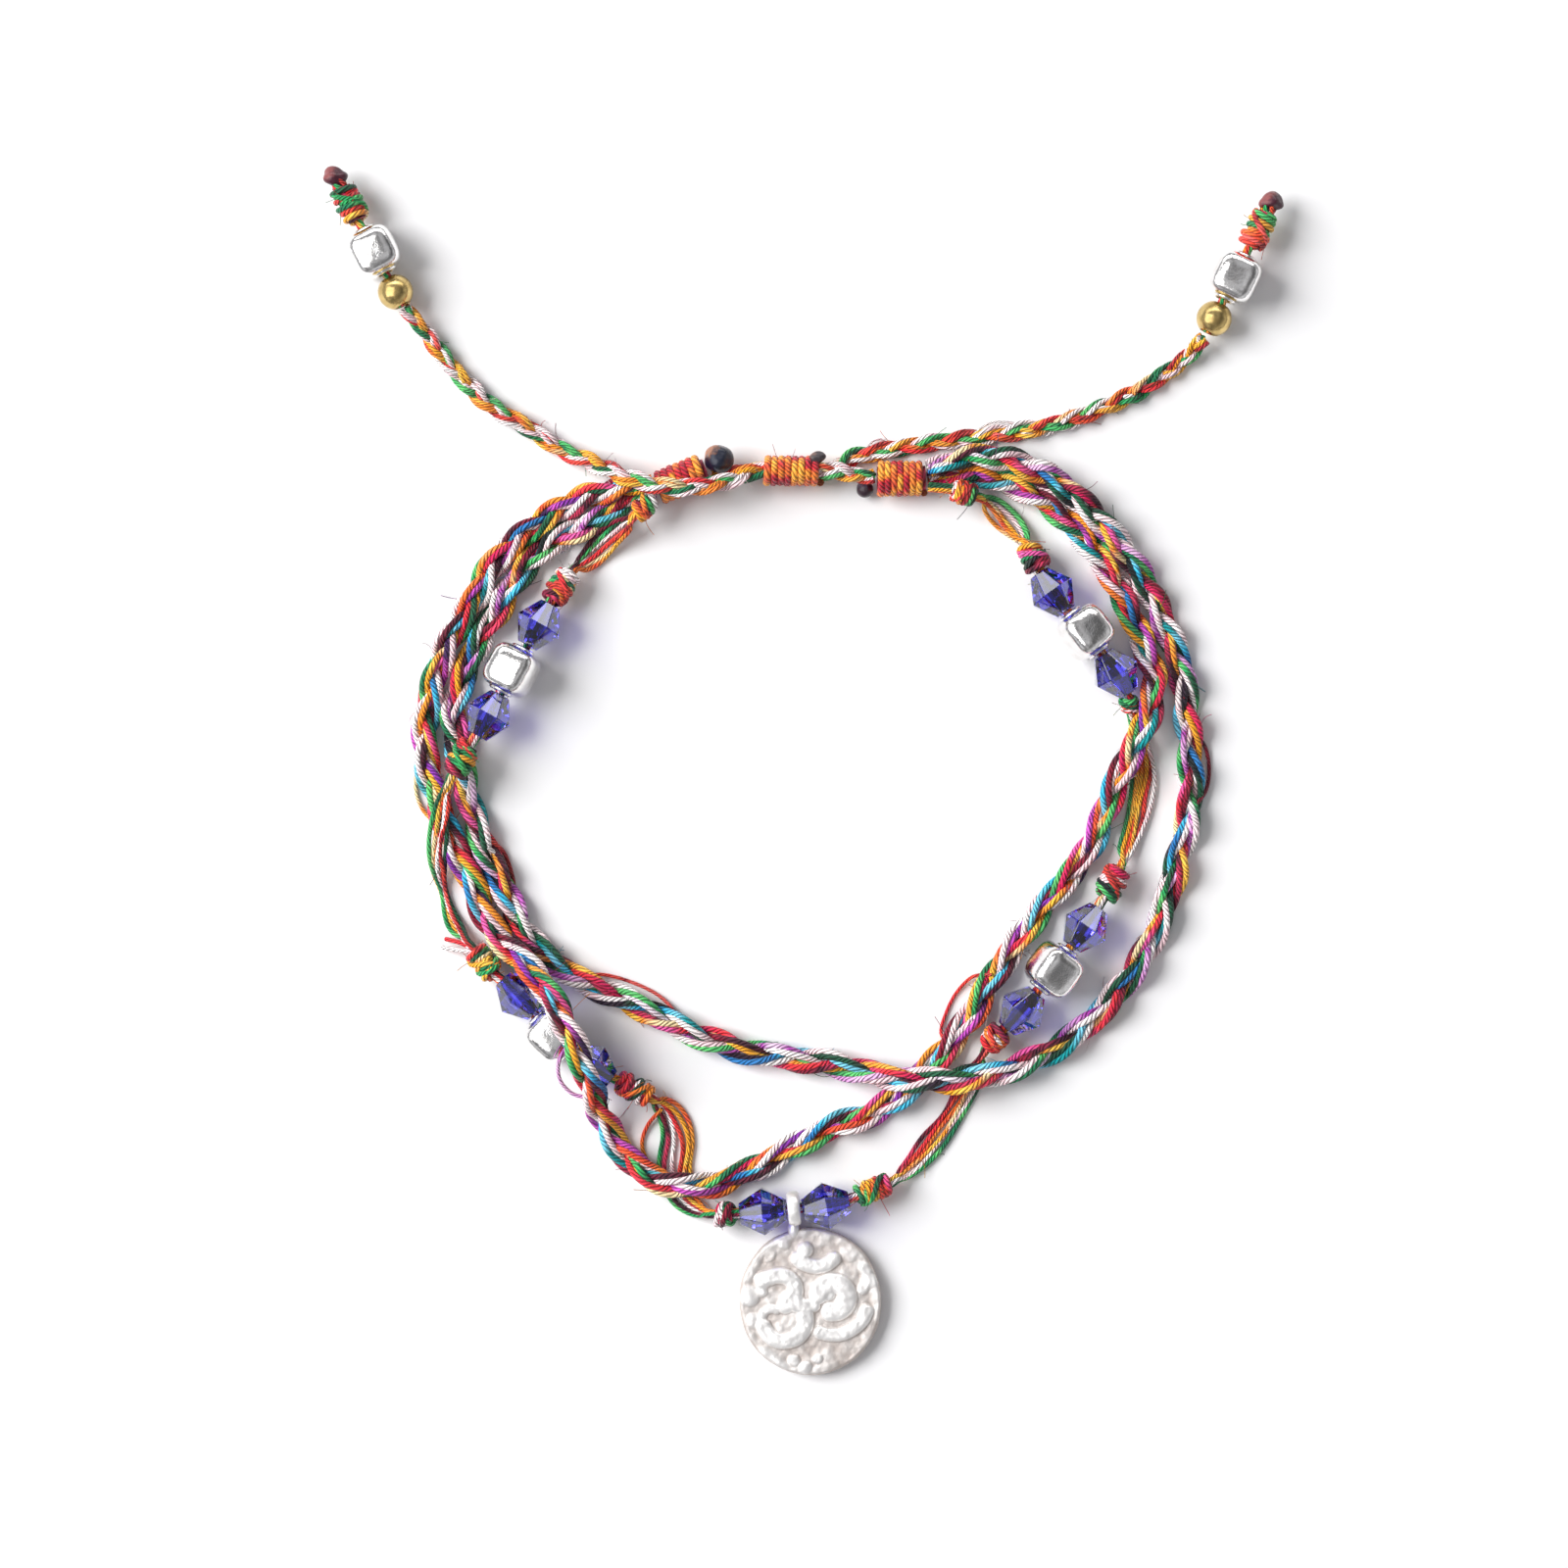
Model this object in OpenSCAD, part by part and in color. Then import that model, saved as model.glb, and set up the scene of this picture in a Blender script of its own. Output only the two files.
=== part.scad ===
// Adjustable string bracelet, lying on a flat surface. Two thread braids and one beaded thread run
// side by side between two end wraps, and two pull cords slide past each other in the centre wrap.
// Plan seen from above, +Y towards the pull cords' upper ends, z = 0 at the surface.

/* [Braids] */
// Thickness of one strand of a body braid
braid_strand_d = 0.7; // [0.6:0.01:0.72]
// Sideways swing of a strand from the middle of its braid
braid_swing = 0.85; // [0.8:0.01:0.9]
// Up and down swing of a strand from the middle of its braid
braid_lift = 0.5; // [0.48:0.01:0.55]
// Mean length in which a strand comes back to its place
braid_pitch = 12; // [11:0.1:14]
// Share of its full thickness that a braid keeps where a wrap binds it
braid_squeeze = 0.6; // [0.5:0.05:0.7]

/* [Pull cords] */
// Thickness of one strand of a pull cord
cord_strand_d = 0.48; // [0.4:0.01:0.5]
// Sideways swing of a strand from the middle of its cord
cord_swing = 0.58; // [0.54:0.01:0.6]
// Up and down swing of a strand from the middle of its cord
cord_lift = 0.35; // [0.34:0.01:0.37]
// Length in which a cord's strand comes back to its place
cord_pitch = 6.5; // [6:0.5:9]
// Share of its full thickness that a cord keeps where a wrap or a bead takes it in
cord_squeeze = 0.8; // [0.7:0.05:0.8]

/* [Beaded thread] */
// Thickness of the bundle that carries the beads
thread_d = 0.9; // [0.7:0.05:0.9]
// Thickness of one turn of a knot
knot_turn_d = 0.76; // [0.6:0.02:0.8]
// Hole through a knot for the bundle
knot_bore_d = 1.1; // [1.06:0.02:1.2]

/* [Crystals] */
// Width of a crystal across its girdle corners
crystal_d = 4.3; // [4:0.1:4.4]
// Length of a crystal along its hole
crystal_l = 4; // [3.6:0.1:4.1]
// Width of a crystal's end face
crystal_end_d = 1.9; // [1.7:0.1:2.2]
// Hole through a crystal
crystal_bore_d = 1.3; // [1.2:0.1:1.4]

/* [Silver cubes] */
// Side of a silver cube
cube_side = 4; // [3.8:0.1:4.1]
// Ball that rounds the corners of a silver cube
cube_ball_d = 5.2; // [5:0.1:5.6]
// Hole through a silver cube
cube_bore_d = 1.4; // [1.3:0.1:1.6]
// Width of the raised collar round the hole
cube_collar_d = 2.2; // [1.9:0.1:2.6]
// Height of the collar
cube_collar_h = 0.15; // [0.1:0.05:0.15]

/* [Brass beads] */
// Diameter of a brass bead
brass_d = 3; // [2.8:0.1:3.1]
// Hole through a brass bead
brass_bore_d = 1.6; // [1.5:0.1:1.7]

/* [Pendant] */
// Diameter of the cast disc
disc_d = 12; // [11.5:0.1:12.5]
// Thickness of the disc without its relief
disc_t = 1.2; // [1:0.1:1.4]
// Height of the raised strokes
relief_h = 0.4; // [0.2:0.1:0.6]
// Width of the pendant's plain rim
rim_w = 0.5; // [0.4:0.1:0.8]
// Outer diameter of the bail
bail_d = 3; // [2.8:0.1:3.2]
// Hole through the bail
bail_bore_d = 1.8; // [1.6:0.1:1.9]
// Width of the bail along the thread
bail_w = 1.1; // [0.9:0.1:1.2]

/* [Wraps] */
// Pitch of the turns of a wrap
wrap_pitch = 0.62; // [0.5:0.01:0.7]
// Depth of the groove between two turns
wrap_groove = 0.16; // [0.1:0.02:0.2]

/* [Hidden] */
ROUND = 48;
CRYSTAL_SIDES = 8;
BRAID_STRAND_SIDES = 6;
CORD_STRAND_SIDES = 5;
THREAD_SIDES = 8;
STRANDS = 3;
STEPS = 6;
THREAD_STEP = 1.5;
RINGS_PER_TURN = 9;
SQUEEZE_LENGTH = 7;
TIGHTER_AT_ENDS = 0.15;

// Route of the middle braid from the right wrap round to the left wrap: x, y, height of its middle
MIDDLE_BRAID = [
    [10.4, 25.8, 2.3], [12, 26.4, 2.3], [14, 26.9, 2.2], [16.5, 26.8, 2], [19, 26, 1.8],
    [21.6, 24.6, 1.8], [24.2, 22.2, 1.8], [26.6, 19.5, 1.7], [28.5, 16.8, 1.3], [30, 13.8, 0.9],
    [31.2, 11, 0.9], [32, 8.2, 0.9], [32.4, 5.2, 0.9], [32.6, 2.2, 0.9], [32.7, -0.8, 0.9],
    [32.4, -4, 0.9], [31.5, -7.7, 0.9], [30.3, -11.7, 0.9], [28.9, -15, 0.9], [26.8, -18.2, 0.9],
    [24, -21.2, 0.9], [20.8, -23.5, 1], [18, -24.8, 1.4], [15, -25.6, 2], [12, -25.9, 2.6],
    [9.5, -25.8, 2.7], [6.8, -25.6, 2], [4, -25, 1.1], [0.5, -24.3, 0.9], [-3.5, -23.8, 0.9],
    [-7, -23, 0.9], [-10.2, -21.7, 0.9], [-13.5, -20, 0.9], [-17, -18.4, 0.9], [-20, -17, 0.9],
    [-22.3, -15.2, 0.9], [-24.4, -12.5, 0.9], [-25.7, -9.5, 0.9], [-27.1, -6.5, 0.9], [-28.2, -3.5, 0.9],
    [-28.9, -0.5, 0.9], [-29.6, 2.5, 0.9], [-29.9, 5.2, 0.9], [-29.1, 8, 0.9], [-27.8, 11, 0.9],
    [-26.2, 13.8, 0.9], [-24.2, 17, 0.9], [-21.8, 19.4, 0.9], [-19, 20.9, 0.9], [-16.8, 22, 0.9],
    [-14.6, 23.3, 0.8], [-13, 24.2, 0.8]];

// Route of the lower braid from the left wrap round to the right wrap
LOWER_BRAID = [
    [-13, 24.6, 2], [-14.5, 24.5, 2], [-17, 24, 1.5], [-19.5, 23.1, 0.9], [-22, 21.7, 0.9],
    [-24.5, 19.9, 0.9], [-26.5, 17.8, 0.9], [-27.9, 15.3, 0.9], [-29.5, 12.6, 0.9], [-30.9, 9.8, 0.9],
    [-31.8, 7, 0.9], [-32.3, 4, 0.9], [-32.1, 1, 0.9], [-31.4, -1.8, 0.9], [-30.4, -4.5, 0.9],
    [-29.2, -7.3, 0.9], [-28, -10, 0.9], [-26.8, -12.7, 1.2], [-24.7, -15.1, 2.2], [-23, -16.8, 3.6],
    [-21.6, -18.5, 4.6], [-20.4, -20.5, 5], [-19.6, -22.5, 5.1], [-18.7, -24.6, 5.1], [-17.9, -27, 3.4],
    [-17.1, -29.4, 1.4], [-15.7, -31.8, 0.9], [-13.3, -34, 1.5], [-10.2, -34.9, 1.9], [-7, -34.6, 1.2],
    [-4.3, -33.4, 0.9], [-1.3, -31.8, 0.9], [2, -30.1, 0.9], [5.2, -28.9, 0.9], [8.2, -27.2, 0.9],
    [10.6, -24.8, 0.9], [12.6, -22.5, 0.9], [14.4, -19.9, 0.9], [16, -17.1, 0.9], [18.1, -14.1, 0.9],
    [20.4, -11, 0.9], [22.8, -8.1, 0.9], [24.7, -5.1, 0.9], [25.9, -1.8, 1.2], [27.2, 1, 1.8],
    [28.6, 3.9, 2.1], [29.5, 7, 1.8], [29.2, 9.7, 0.9], [28, 12.6, 0.9], [26.7, 15.4, 0.9],
    [24.9, 18.4, 0.9], [22.7, 21.1, 0.9], [20.3, 23.2, 0.9], [17.6, 24.6, 0.9], [14.2, 25.4, 0.9],
    [10.4, 25.3, 0.9]];

// Route of the cord with the left tail, from the right wrap through the centre wrap
LEFT_CORD = [
    [5.8, 25.2, 2.2], [4, 25.3, 2.2], [2.2, 25.7, 2.35], [-1, 25.7, 2.35], [-4.1, 25.7, 2.35],
    [-5.6, 25.1, 2.8], [-8, 24.4, 3.5], [-10.5, 24.2, 3.7], [-12.9, 24.4, 3.7], [-15, 25, 3.3],
    [-17.5, 26.1, 1.8], [-20.5, 27.5, 0.7], [-24, 29.6, 0.7], [-27.5, 31.9, 0.7], [-30.2, 34.7, 0.7],
    [-32.2, 37.4, 1], [-33.9, 39.5, 1.7]];

// Route of the cord with the right tail, from the left wrap through the centre wrap
RIGHT_CORD = [
    [-7.9, 25.5, 0.8], [-6.5, 25.6, 0.7], [-4.1, 25.7, 1], [-1, 25.7, 1], [2.2, 25.7, 1],
    [4, 26.9, 0.7], [6, 27.3, 0.65], [8, 27.7, 0.65], [12, 28.3, 0.65], [17, 28.9, 0.65],
    [21.5, 29.8, 0.65], [25.5, 31.2, 0.65], [29, 33, 0.65], [31.9, 35, 0.7], [33.7, 37, 1.6]];

// Beaded thread, in sections from the left wrap round to the right wrap: the two ends of a knot, the
// loose bunches, the two ends of the next knot, then the middles of the beads. Each point has its
// x, y, height and the width of the bundle there
THREAD_SECTIONS = [
    [[[-12.9, 23.3, 2.3, 0.9], [-14.4, 21.9, 2.5, 0.9]],
     [[-15.3, 21.1, 2.1, 1.4], [-16.6, 20, 1.3, 2], [-18.1, 18.6, 0.6, 2]],
     [[-19.9, 17.1, 1.5, 0.9], [-21.6, 14.6, 1.9, 0.9]],
     [[-22.6, 12.6, 2.1, 0.9], [-24.85, 8.8, 2.45, 0.9], [-26.8, 4.95, 2.6, 0.9]]],
    [[[-28.3, 2.5, 3, 0.9], [-29.8, 0, 3.1, 0.9]],
     [[-30.5, -1.8, 2.6, 1.3], [-30.9, -4.2, 2.3, 1.7], [-31.3, -7.2, 1.6, 1.6], [-30.8, -9.8, 0.5, 1.3],
      [-29.8, -12.8, 0.6, 1.4]],
     [[-28.2, -14.8, 1.5, 0.9], [-26.3, -17, 1.8, 0.9]],
     [[-24.2, -18.75, 2.1, 0.9], [-21.5, -22.1, 2.1, 0.9], [-18.1, -24.7, 2.1, 0.9]]],
    [[[-16, -25.9, 1.8, 0.9], [-13, -27.5, 1.5, 0.9]],
     [[-11.7, -28.9, 0.6, 2.2], [-11, -31, 0.5, 2.8], [-11.1, -33.7, 0.5, 2.8], [-10.6, -36, 0.5, 2.2],
      [-9.2, -37.1, 0.9, 1.4]],
     [[-7.6, -37.3, 1.7, 0.9], [-6.1, -37.2, 1.9, 0.9]],
     [[-3.6, -37, 2.1, 0.9], [-1, -36.75, 2.1, 0.9], [1.7, -36.5, 2.1, 0.9]]],
    [[[4.2, -35.8, 1.9, 0.9], [7.3, -34.6, 1.4, 0.9]],
     [[9, -33.2, 0.7, 1.8], [11.6, -30.3, 0.5, 2.1], [13.6, -27.1, 0.5, 2], [14.6, -24.8, 0.8, 1.4]],
     [[15.4, -23.1, 1.4, 0.9], [16.7, -21.6, 1.9, 0.9]],
     [[18.3, -20, 2.1, 0.9], [21, -16.5, 2.5, 0.9], [23.65, -13, 2.1, 0.9]]],
    [[[25.2, -10.5, 1.9, 0.9], [26.7, -7.9, 1.5, 0.9]],
     [[27.5, -5.8, 0.7, 1.7], [28.2, -3, 0.5, 2.1], [28.8, 0, 0.5, 2.1], [28.4, 2.7, 0.5, 1.8],
      [27.9, 4.2, 0.5, 1.2]],
     [[27.6, 5.3, 1.2, 0.9], [27.25, 6.6, 1.7, 0.9]],
     [[26.25, 8.55, 2.1, 0.9], [23.6, 12, 2.5, 0.9], [20.9, 15.35, 2.1, 0.9]]],
    [[[19.8, 17.35, 1.9, 0.9], [18.8, 19.4, 1.5, 0.9]],
     [[18.2, 20.3, 1, 1.5], [17.4, 21.4, 0.6, 2], [16.3, 22.5, 0.7, 1.9], [15.4, 23.1, 1.2, 1.3]],
     [[14.5, 23.5, 1.9, 0.9], [12.3, 24.1, 2.3, 0.9]],
     [[10.4, 24.3, 2.1, 0.9]]]];
KNOT_DIAMETERS = [2.1, 2.5, 2.5, 2.4, 2.3, 2.3, 2.3, 2.4, 2.6, 1.8, 2.6, 2.2];
BEADS_PER_SECTION = 3;
CRYSTAL_COUNT = 10;

// Silver cubes: section of the thread, turn about the hole
CUBES = [[0, 18], [1, 0], [3, 22], [4, 22]];

// Pull cord ends: x and y of the brass bead, heading towards the tip
CORD_ENDS = [[-34.75, 40.85, 117.5], [34.6, 38.6, 63.7]];
END_HEIGHT = 2.05;
END_THREAD_D = 0.8;
END_CUBE_AT = 3.85;
END_KNOT_AT = 8.35;
END_KNOT_L = 3.5;
END_KNOT_D = 2.6;
END_TIP_AT = 10.97;
END_TIP_D = 1.7;
BRASS_DROP = 0.35;

// End wraps: middle, heading, length and the widths of the two ends
LEFT_WRAP = [[-10.5, 25, 1.55], 21.5, 4.6, 2.9, 3.1];
RIGHT_WRAP = [[8.1, 25.05, 1.55], 1, 4.3, 3.1, 3];

// Centre wrap, an upright oval with the lump where its thread was burnt off
CENTRE_WRAP_AT = [-1.1, 25.7];
CENTRE_WRAP_L = 5.2;
CENTRE_WRAP_W = 2.6;
CENTRE_WRAP_H = 3.4;
CENTRE_WRAP_WALL = 0.32;
CENTRE_WRAP_TURNS = 8;
RIB_SHARE = 0.6;
BURNT_LUMP_AT = [1, 0.9, 2];
BURNT_LUMP_D = 1.2;

// Thread ends melted into lumps beside the end wraps
LEFT_MELTED_AT = [-7.35, 26.65, 2.25];
LEFT_MELTED_D = 2.4;
RIGHT_MELTED_AT = [5.05, 24.2, 0.8];
RIGHT_MELTED_D = 1.5;

// Pendant, whose outline is two circles a little apart
PENDANT_AT = [0.4, -44.75];
OUTLINE_CENTRES = [[0, 0.25], [0.1, -0.2]];
BAIL_SECTION = 2;
NECK_AT = [-1, -38.5, 0.85];
NECK_SIZE = [1.1, 1.9, 1.3];

// The raised sign: two bowls on the left, a curl on the right, a band outside it and a crescent above.
// Each stroke has a centre, a radius, the two ends' bearings and a width
SIGN_STROKES = [
    [[-2.6, 0.9], 1.35, -70, 110, 1.2], [[-2.6, -0.9], 3.1, 85, 118, 1.1],
    [[-2.2, -1.5], 1.85, -160, 80, 1.2], [[1.9, 0.4], 1.25, -100, 170, 1.4],
    [[1.9, 0.3], 3.1, -110, -20, 1], [[0.45, 5.1], 2.1, -137, -44, 1.1]];
SIGN_LINK = [[-0.5, -0.3], [1.6, 0.9]];
SIGN_DOT = [[-0.45, 4.4], 1.3];

function unit(v) = v / norm(v);

function curve_point(p0, p1, p2, p3, t) =
    0.5 * (2 * p1 + (p2 - p0) * t + (2 * p0 - 5 * p1 + 4 * p2 - p3) * t * t
        + (3 * p1 - p0 - 3 * p2 + p3) * t * t * t);

function curve(route) = let (last = len(route) - 1) concat(
    [for (i = [0:last - 1]) for (k = [0:STEPS - 1])
        curve_point(route[max(i - 1, 0)], route[i], route[i + 1], route[min(i + 2, last)], k / STEPS)],
    [route[last]]);

function place(p) = [p[0], p[1], p[2]];

function lengths(path) = [for (i = 0, s = 0; i < len(path);
    s = s + (i < len(path) - 1 ? norm(place(path[i + 1] - path[i])) : 0), i = i + 1) s];

function route_length(route) = let (s = lengths(curve(route))) s[len(s) - 1];

// Places at given shares of a route's length, with all the numbers that the route gives for each
function places_along(route, shares_along) = let (
    path = curve(route),
    s = lengths(path),
    tables = [for (k = [0:len(route[0]) - 1]) [for (i = [0:len(path) - 1]) [s[i], path[i][k]]]])
    [for (u = shares_along) [for (table = tables) lookup(u * s[len(s) - 1], table)]];

function heading(path, i) = unit(path[min(i + 1, len(path) - 1)] - path[max(i - 1, 0)]);
function side_of(path, i) = unit(cross(heading(path, i), [0, 0, 1]));
function up_of(path, i) = cross(side_of(path, i), heading(path, i));

function ease(x) = let (t = min(max(x, 0), 1)) t * t * (3 - 2 * t);

// Share of its full thickness that a braid has at a distance from one of its ends
function fullness(distance, squeeze) = squeeze + (1 - squeeze) * ease(distance / SQUEEZE_LENGTH);

// Closed skin round a path of places, with half a width and half a height for each
module tube(path, half_widths, half_heights, sides) {
    n = len(path);
    points = [for (i = [0:n - 1]) for (j = [0:sides - 1]) let (a = 360 * (j + 0.5) / sides)
        path[i] + half_widths[i] * cos(a) * side_of(path, i) + half_heights[i] * sin(a) * up_of(path, i)];
    walls = [for (i = [0:n - 2]) for (j = [0:sides - 1]) for (corner = [0, 1])
        let (k = (j + 1) % sides, here = i * sides, next = here + sides)
        corner == 0 ? [here + j, next + j, next + k] : [here + j, next + k, here + k]];
    start_cap = [for (j = [0:sides - 1]) j];
    end_cap = [for (j = [0:sides - 1]) n * sides - 1 - j];
    polyhedron(points, concat(walls, [start_cap], [end_cap]));
}

// One strand of a three-strand braid, with its rings at even parts of a turn
module strand(route, index, pitch, swing, lift, strand_d, squeeze, sides) {
    total = route_length(route);
    n = round(total / pitch * RINGS_PER_TURN);
    shares_along = [for (i = [0:n]) i / n - TIGHTER_AT_ENDS * sin(360 * i / n) / 2 / PI];
    path = places_along(route, shares_along);
    full = [for (u = shares_along) fullness(u * total, squeeze) * fullness((1 - u) * total, squeeze)];
    turn = [for (i = [0:n]) 360 * (i / RINGS_PER_TURN + index / STRANDS)];
    points = [for (i = [0:n]) path[i] + full[i] * (side_of(path, i) * swing * sin(turn[i])
        + up_of(path, i) * lift * sin(2 * turn[i]))];
    tube(points, full * strand_d / 2, full * strand_d / 2, sides);
}

module braid_strand(route, index) {
    strand(route, index, braid_pitch, braid_swing, braid_lift, braid_strand_d, braid_squeeze,
        BRAID_STRAND_SIDES);
}

module cord_strand(route, index) {
    strand(route, index, cord_pitch, cord_swing, cord_lift, cord_strand_d, cord_squeeze,
        CORD_STRAND_SIDES);
}

// Route of one section of the beaded thread, from the middle of its first knot to that of the next
function section_route(index) = let (
    last = len(THREAD_SECTIONS) - 1,
    section = THREAD_SECTIONS[index],
    next_knot = THREAD_SECTIONS[min(index + 1, last)][0])
    concat(
        index == 0 ? section[0] : [knot_share(section[0], 0.55), section[0][1]],
        section[1], section[2], section[3],
        index == last ? [] : [next_knot[0], knot_share(next_knot, 0.45)]);

function knot_share(knot, share) = knot[0] * (1 - share) + knot[1] * share;

module beaded_thread(index) {
    route = section_route(index);
    n = round(route_length(route) / THREAD_STEP);
    path = places_along(route, [for (i = [0:n]) i / n]);
    tube([for (p = path) place(p)], [for (p = path) p[3] / 2], [for (p = path) thread_d / 2], THREAD_SIDES);
}

// Puts what is built along Z at a place, with that axis along a direction
module along(at, direction) {
    d = unit(direction);
    translate(at) rotate([0, acos(d[2]), atan2(d[1], d[0])]) children();
}

function level(heading_deg) = [cos(heading_deg), sin(heading_deg), 0];

// Puts a bead on the thread, counted within its section
module on_thread(section, bead) {
    route = [for (p = section_route(section)) place(p)];
    i = len(route) - 2 - BEADS_PER_SECTION + bead;
    along(route[i], heading(route, i)) children();
}

// Turns of thread side by side round a core, which is drilled where a bore is given
module coil(length, start_d, end_d, pitch, turn_d, groove, bore_d) {
    turns = max(round(length / pitch), 2);
    step = length / turns;
    core_r = min(start_d, end_d) / 2 - groove;
    rotate_extrude($fn = ROUND) difference() {
        union() {
            translate([0, -length / 2]) square([core_r, length]);
            intersection() {
                for (i = [0:turns - 1]) {
                    outer_r = (start_d + (end_d - start_d) * i / (turns - 1)) / 2;
                    translate([outer_r - turn_d / 2, (i + 0.5) * step - length / 2])
                        circle(d = turn_d, $fn = 24);
                }
                translate([0, -length]) square([start_d, length * 2]);
            }
        }
        translate([-1, -length]) square([1 + bore_d / 2, length * 2]);
    }
}

module knot_body(length, knot_d) {
    coil(length, knot_d, knot_d, knot_turn_d * 0.9, knot_turn_d, knot_turn_d / 4, knot_bore_d);
}

module bead_knot(index) {
    knot = THREAD_SECTIONS[floor(index / 2)][index % 2 * 2];
    start = place(knot[0]);
    end = place(knot[1]);
    along((start + end) / 2, end - start) knot_body(norm(end - start), KNOT_DIAMETERS[index]);
}

module crystal(index) {
    on_thread(floor(index / 2), index % 2 * 2) rotate(180 / CRYSTAL_SIDES) difference() {
        for (end = [0, 1]) mirror([0, 0, end])
            cylinder(h = crystal_l / 2, d1 = crystal_d, d2 = crystal_end_d, $fn = CRYSTAL_SIDES);
        cylinder(h = crystal_l * 2, d = crystal_bore_d, center = true, $fn = ROUND);
    }
}

module cube_bead(turn) {
    difference() {
        union() {
            rotate([0, 0, turn]) intersection() {
                cube(cube_side, center = true);
                sphere(d = cube_ball_d, $fn = ROUND);
            }
            cylinder(h = cube_side + 2 * cube_collar_h, d = cube_collar_d, center = true, $fn = ROUND);
        }
        cylinder(h = cube_side * 2, d = cube_bore_d, center = true, $fn = ROUND);
    }
}

module silver_cube(index) {
    on_thread(CUBES[index][0], 1) cube_bead(CUBES[index][1]);
}

// Place along a pull cord's end, counted from its brass bead
module on_end(index, at, drop = 0) {
    e = CORD_ENDS[index];
    along([e[0] + at * cos(e[2]), e[1] + at * sin(e[2]), END_HEIGHT - drop], level(e[2])) children();
}

module brass_bead(index) {
    on_end(index, 0, BRASS_DROP) difference() {
        sphere(d = brass_d, $fn = ROUND);
        cylinder(h = brass_d * 2, d = brass_bore_d, center = true, $fn = ROUND);
    }
}

module end_cube(index) {
    on_end(index, END_CUBE_AT) cube_bead(0);
}

// The knot and the threads that run from it through both beads
module end_knot(index) {
    thread_l = END_KNOT_AT + brass_d / 2;
    on_end(index, END_KNOT_AT) {
        coil(END_KNOT_L, END_KNOT_D, END_KNOT_D, knot_turn_d * 0.9, knot_turn_d, knot_turn_d / 4, 0);
        translate([0, 0, -thread_l]) cylinder(h = thread_l, d = END_THREAD_D, $fn = ROUND);
    }
}

module end_tip(index) {
    on_end(index, END_TIP_AT) sphere(d = END_TIP_D, $fn = ROUND);
}

module end_wrap(wrap) {
    color("orangered") along(wrap[0], level(wrap[1]))
        coil(wrap[2], wrap[3], wrap[4], wrap_pitch, wrap_pitch, wrap_groove, 0);
}

module upright_oval(w, h) {
    for (end = [-1, 1]) translate([0, end * (h - w) / 2]) circle(d = w, $fn = ROUND);
    square([w, h - w], center = true);
}

// Turns round both pull cords, with the way through that they slide in
module centre_wrap() {
    step = CENTRE_WRAP_L / CENTRE_WRAP_TURNS;
    core_w = CENTRE_WRAP_W - wrap_groove;
    core_h = CENTRE_WRAP_H - wrap_groove;
    inner_w = CENTRE_WRAP_W - 2 * CENTRE_WRAP_WALL;
    inner_h = CENTRE_WRAP_H - 2 * CENTRE_WRAP_WALL;
    at = [CENTRE_WRAP_AT[0], CENTRE_WRAP_AT[1], CENTRE_WRAP_H / 2];
    color("orangered") translate(at) rotate([90, 0, 90]) difference() {
        union() {
            linear_extrude(CENTRE_WRAP_L, center = true) upright_oval(core_w, core_h);
            translate(BURNT_LUMP_AT) sphere(d = BURNT_LUMP_D, $fn = ROUND);
            for (i = [0:CENTRE_WRAP_TURNS - 1]) translate([0, 0, (i + 0.5 - CENTRE_WRAP_TURNS / 2) * step])
                linear_extrude(step * RIB_SHARE, center = true) upright_oval(CENTRE_WRAP_W, CENTRE_WRAP_H);
        }
        linear_extrude(CENTRE_WRAP_L * 2, center = true) upright_oval(inner_w, inner_h);
    }
}

module melted_end(at, d) {
    color("dimgray") translate(at) sphere(d = d, $fn = ROUND);
}

module sign_stroke(centre, radius, from_deg, to_deg, width) {
    steps = 8;
    past_edge = (radius + width) * 1.1;
    wedge = concat([[0, 0]], [for (i = [0:steps]) let (a = from_deg + (to_deg - from_deg) * i / steps)
        past_edge * [cos(a), sin(a)]]);
    translate(centre) {
        intersection() {
            difference() {
                circle(radius + width / 2, $fn = ROUND);
                circle(radius - width / 2, $fn = ROUND);
            }
            polygon(wedge);
        }
        for (a = [from_deg, to_deg]) translate(radius * [cos(a), sin(a)]) circle(d = width, $fn = 24);
    }
}

module sign() {
    for (s = SIGN_STROKES) sign_stroke(s[0], s[1], s[2], s[3], s[4]);
    translate(SIGN_LINK[0]) square(SIGN_LINK[1], center = true);
    translate(SIGN_DOT[0]) circle(d = SIGN_DOT[1], $fn = 24);
}

module disc_outline(inset) {
    for (centre = OUTLINE_CENTRES) translate(centre) circle(d = disc_d - 2 * inset, $fn = ROUND * 2);
}

module pendant() {
    color("gainsboro") {
        translate([PENDANT_AT[0], PENDANT_AT[1], 0]) {
            linear_extrude(disc_t) disc_outline(0);
            linear_extrude(disc_t + relief_h / 4) difference() {
                disc_outline(0);
                disc_outline(rim_w);
            }
            linear_extrude(disc_t + relief_h) sign();
        }
        difference() {
            union() {
                on_thread(BAIL_SECTION, 1) cylinder(h = bail_w, d = bail_d, center = true, $fn = ROUND);
                translate(NECK_AT) cube(NECK_SIZE, center = true);
            }
            on_thread(BAIL_SECTION, 1) cylinder(h = bail_w * 3, d = bail_bore_d, center = true, $fn = ROUND);
        }
    }
}

function numbered(stem, count) = [for (i = [1:count]) str(stem, "_", i)];

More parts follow.
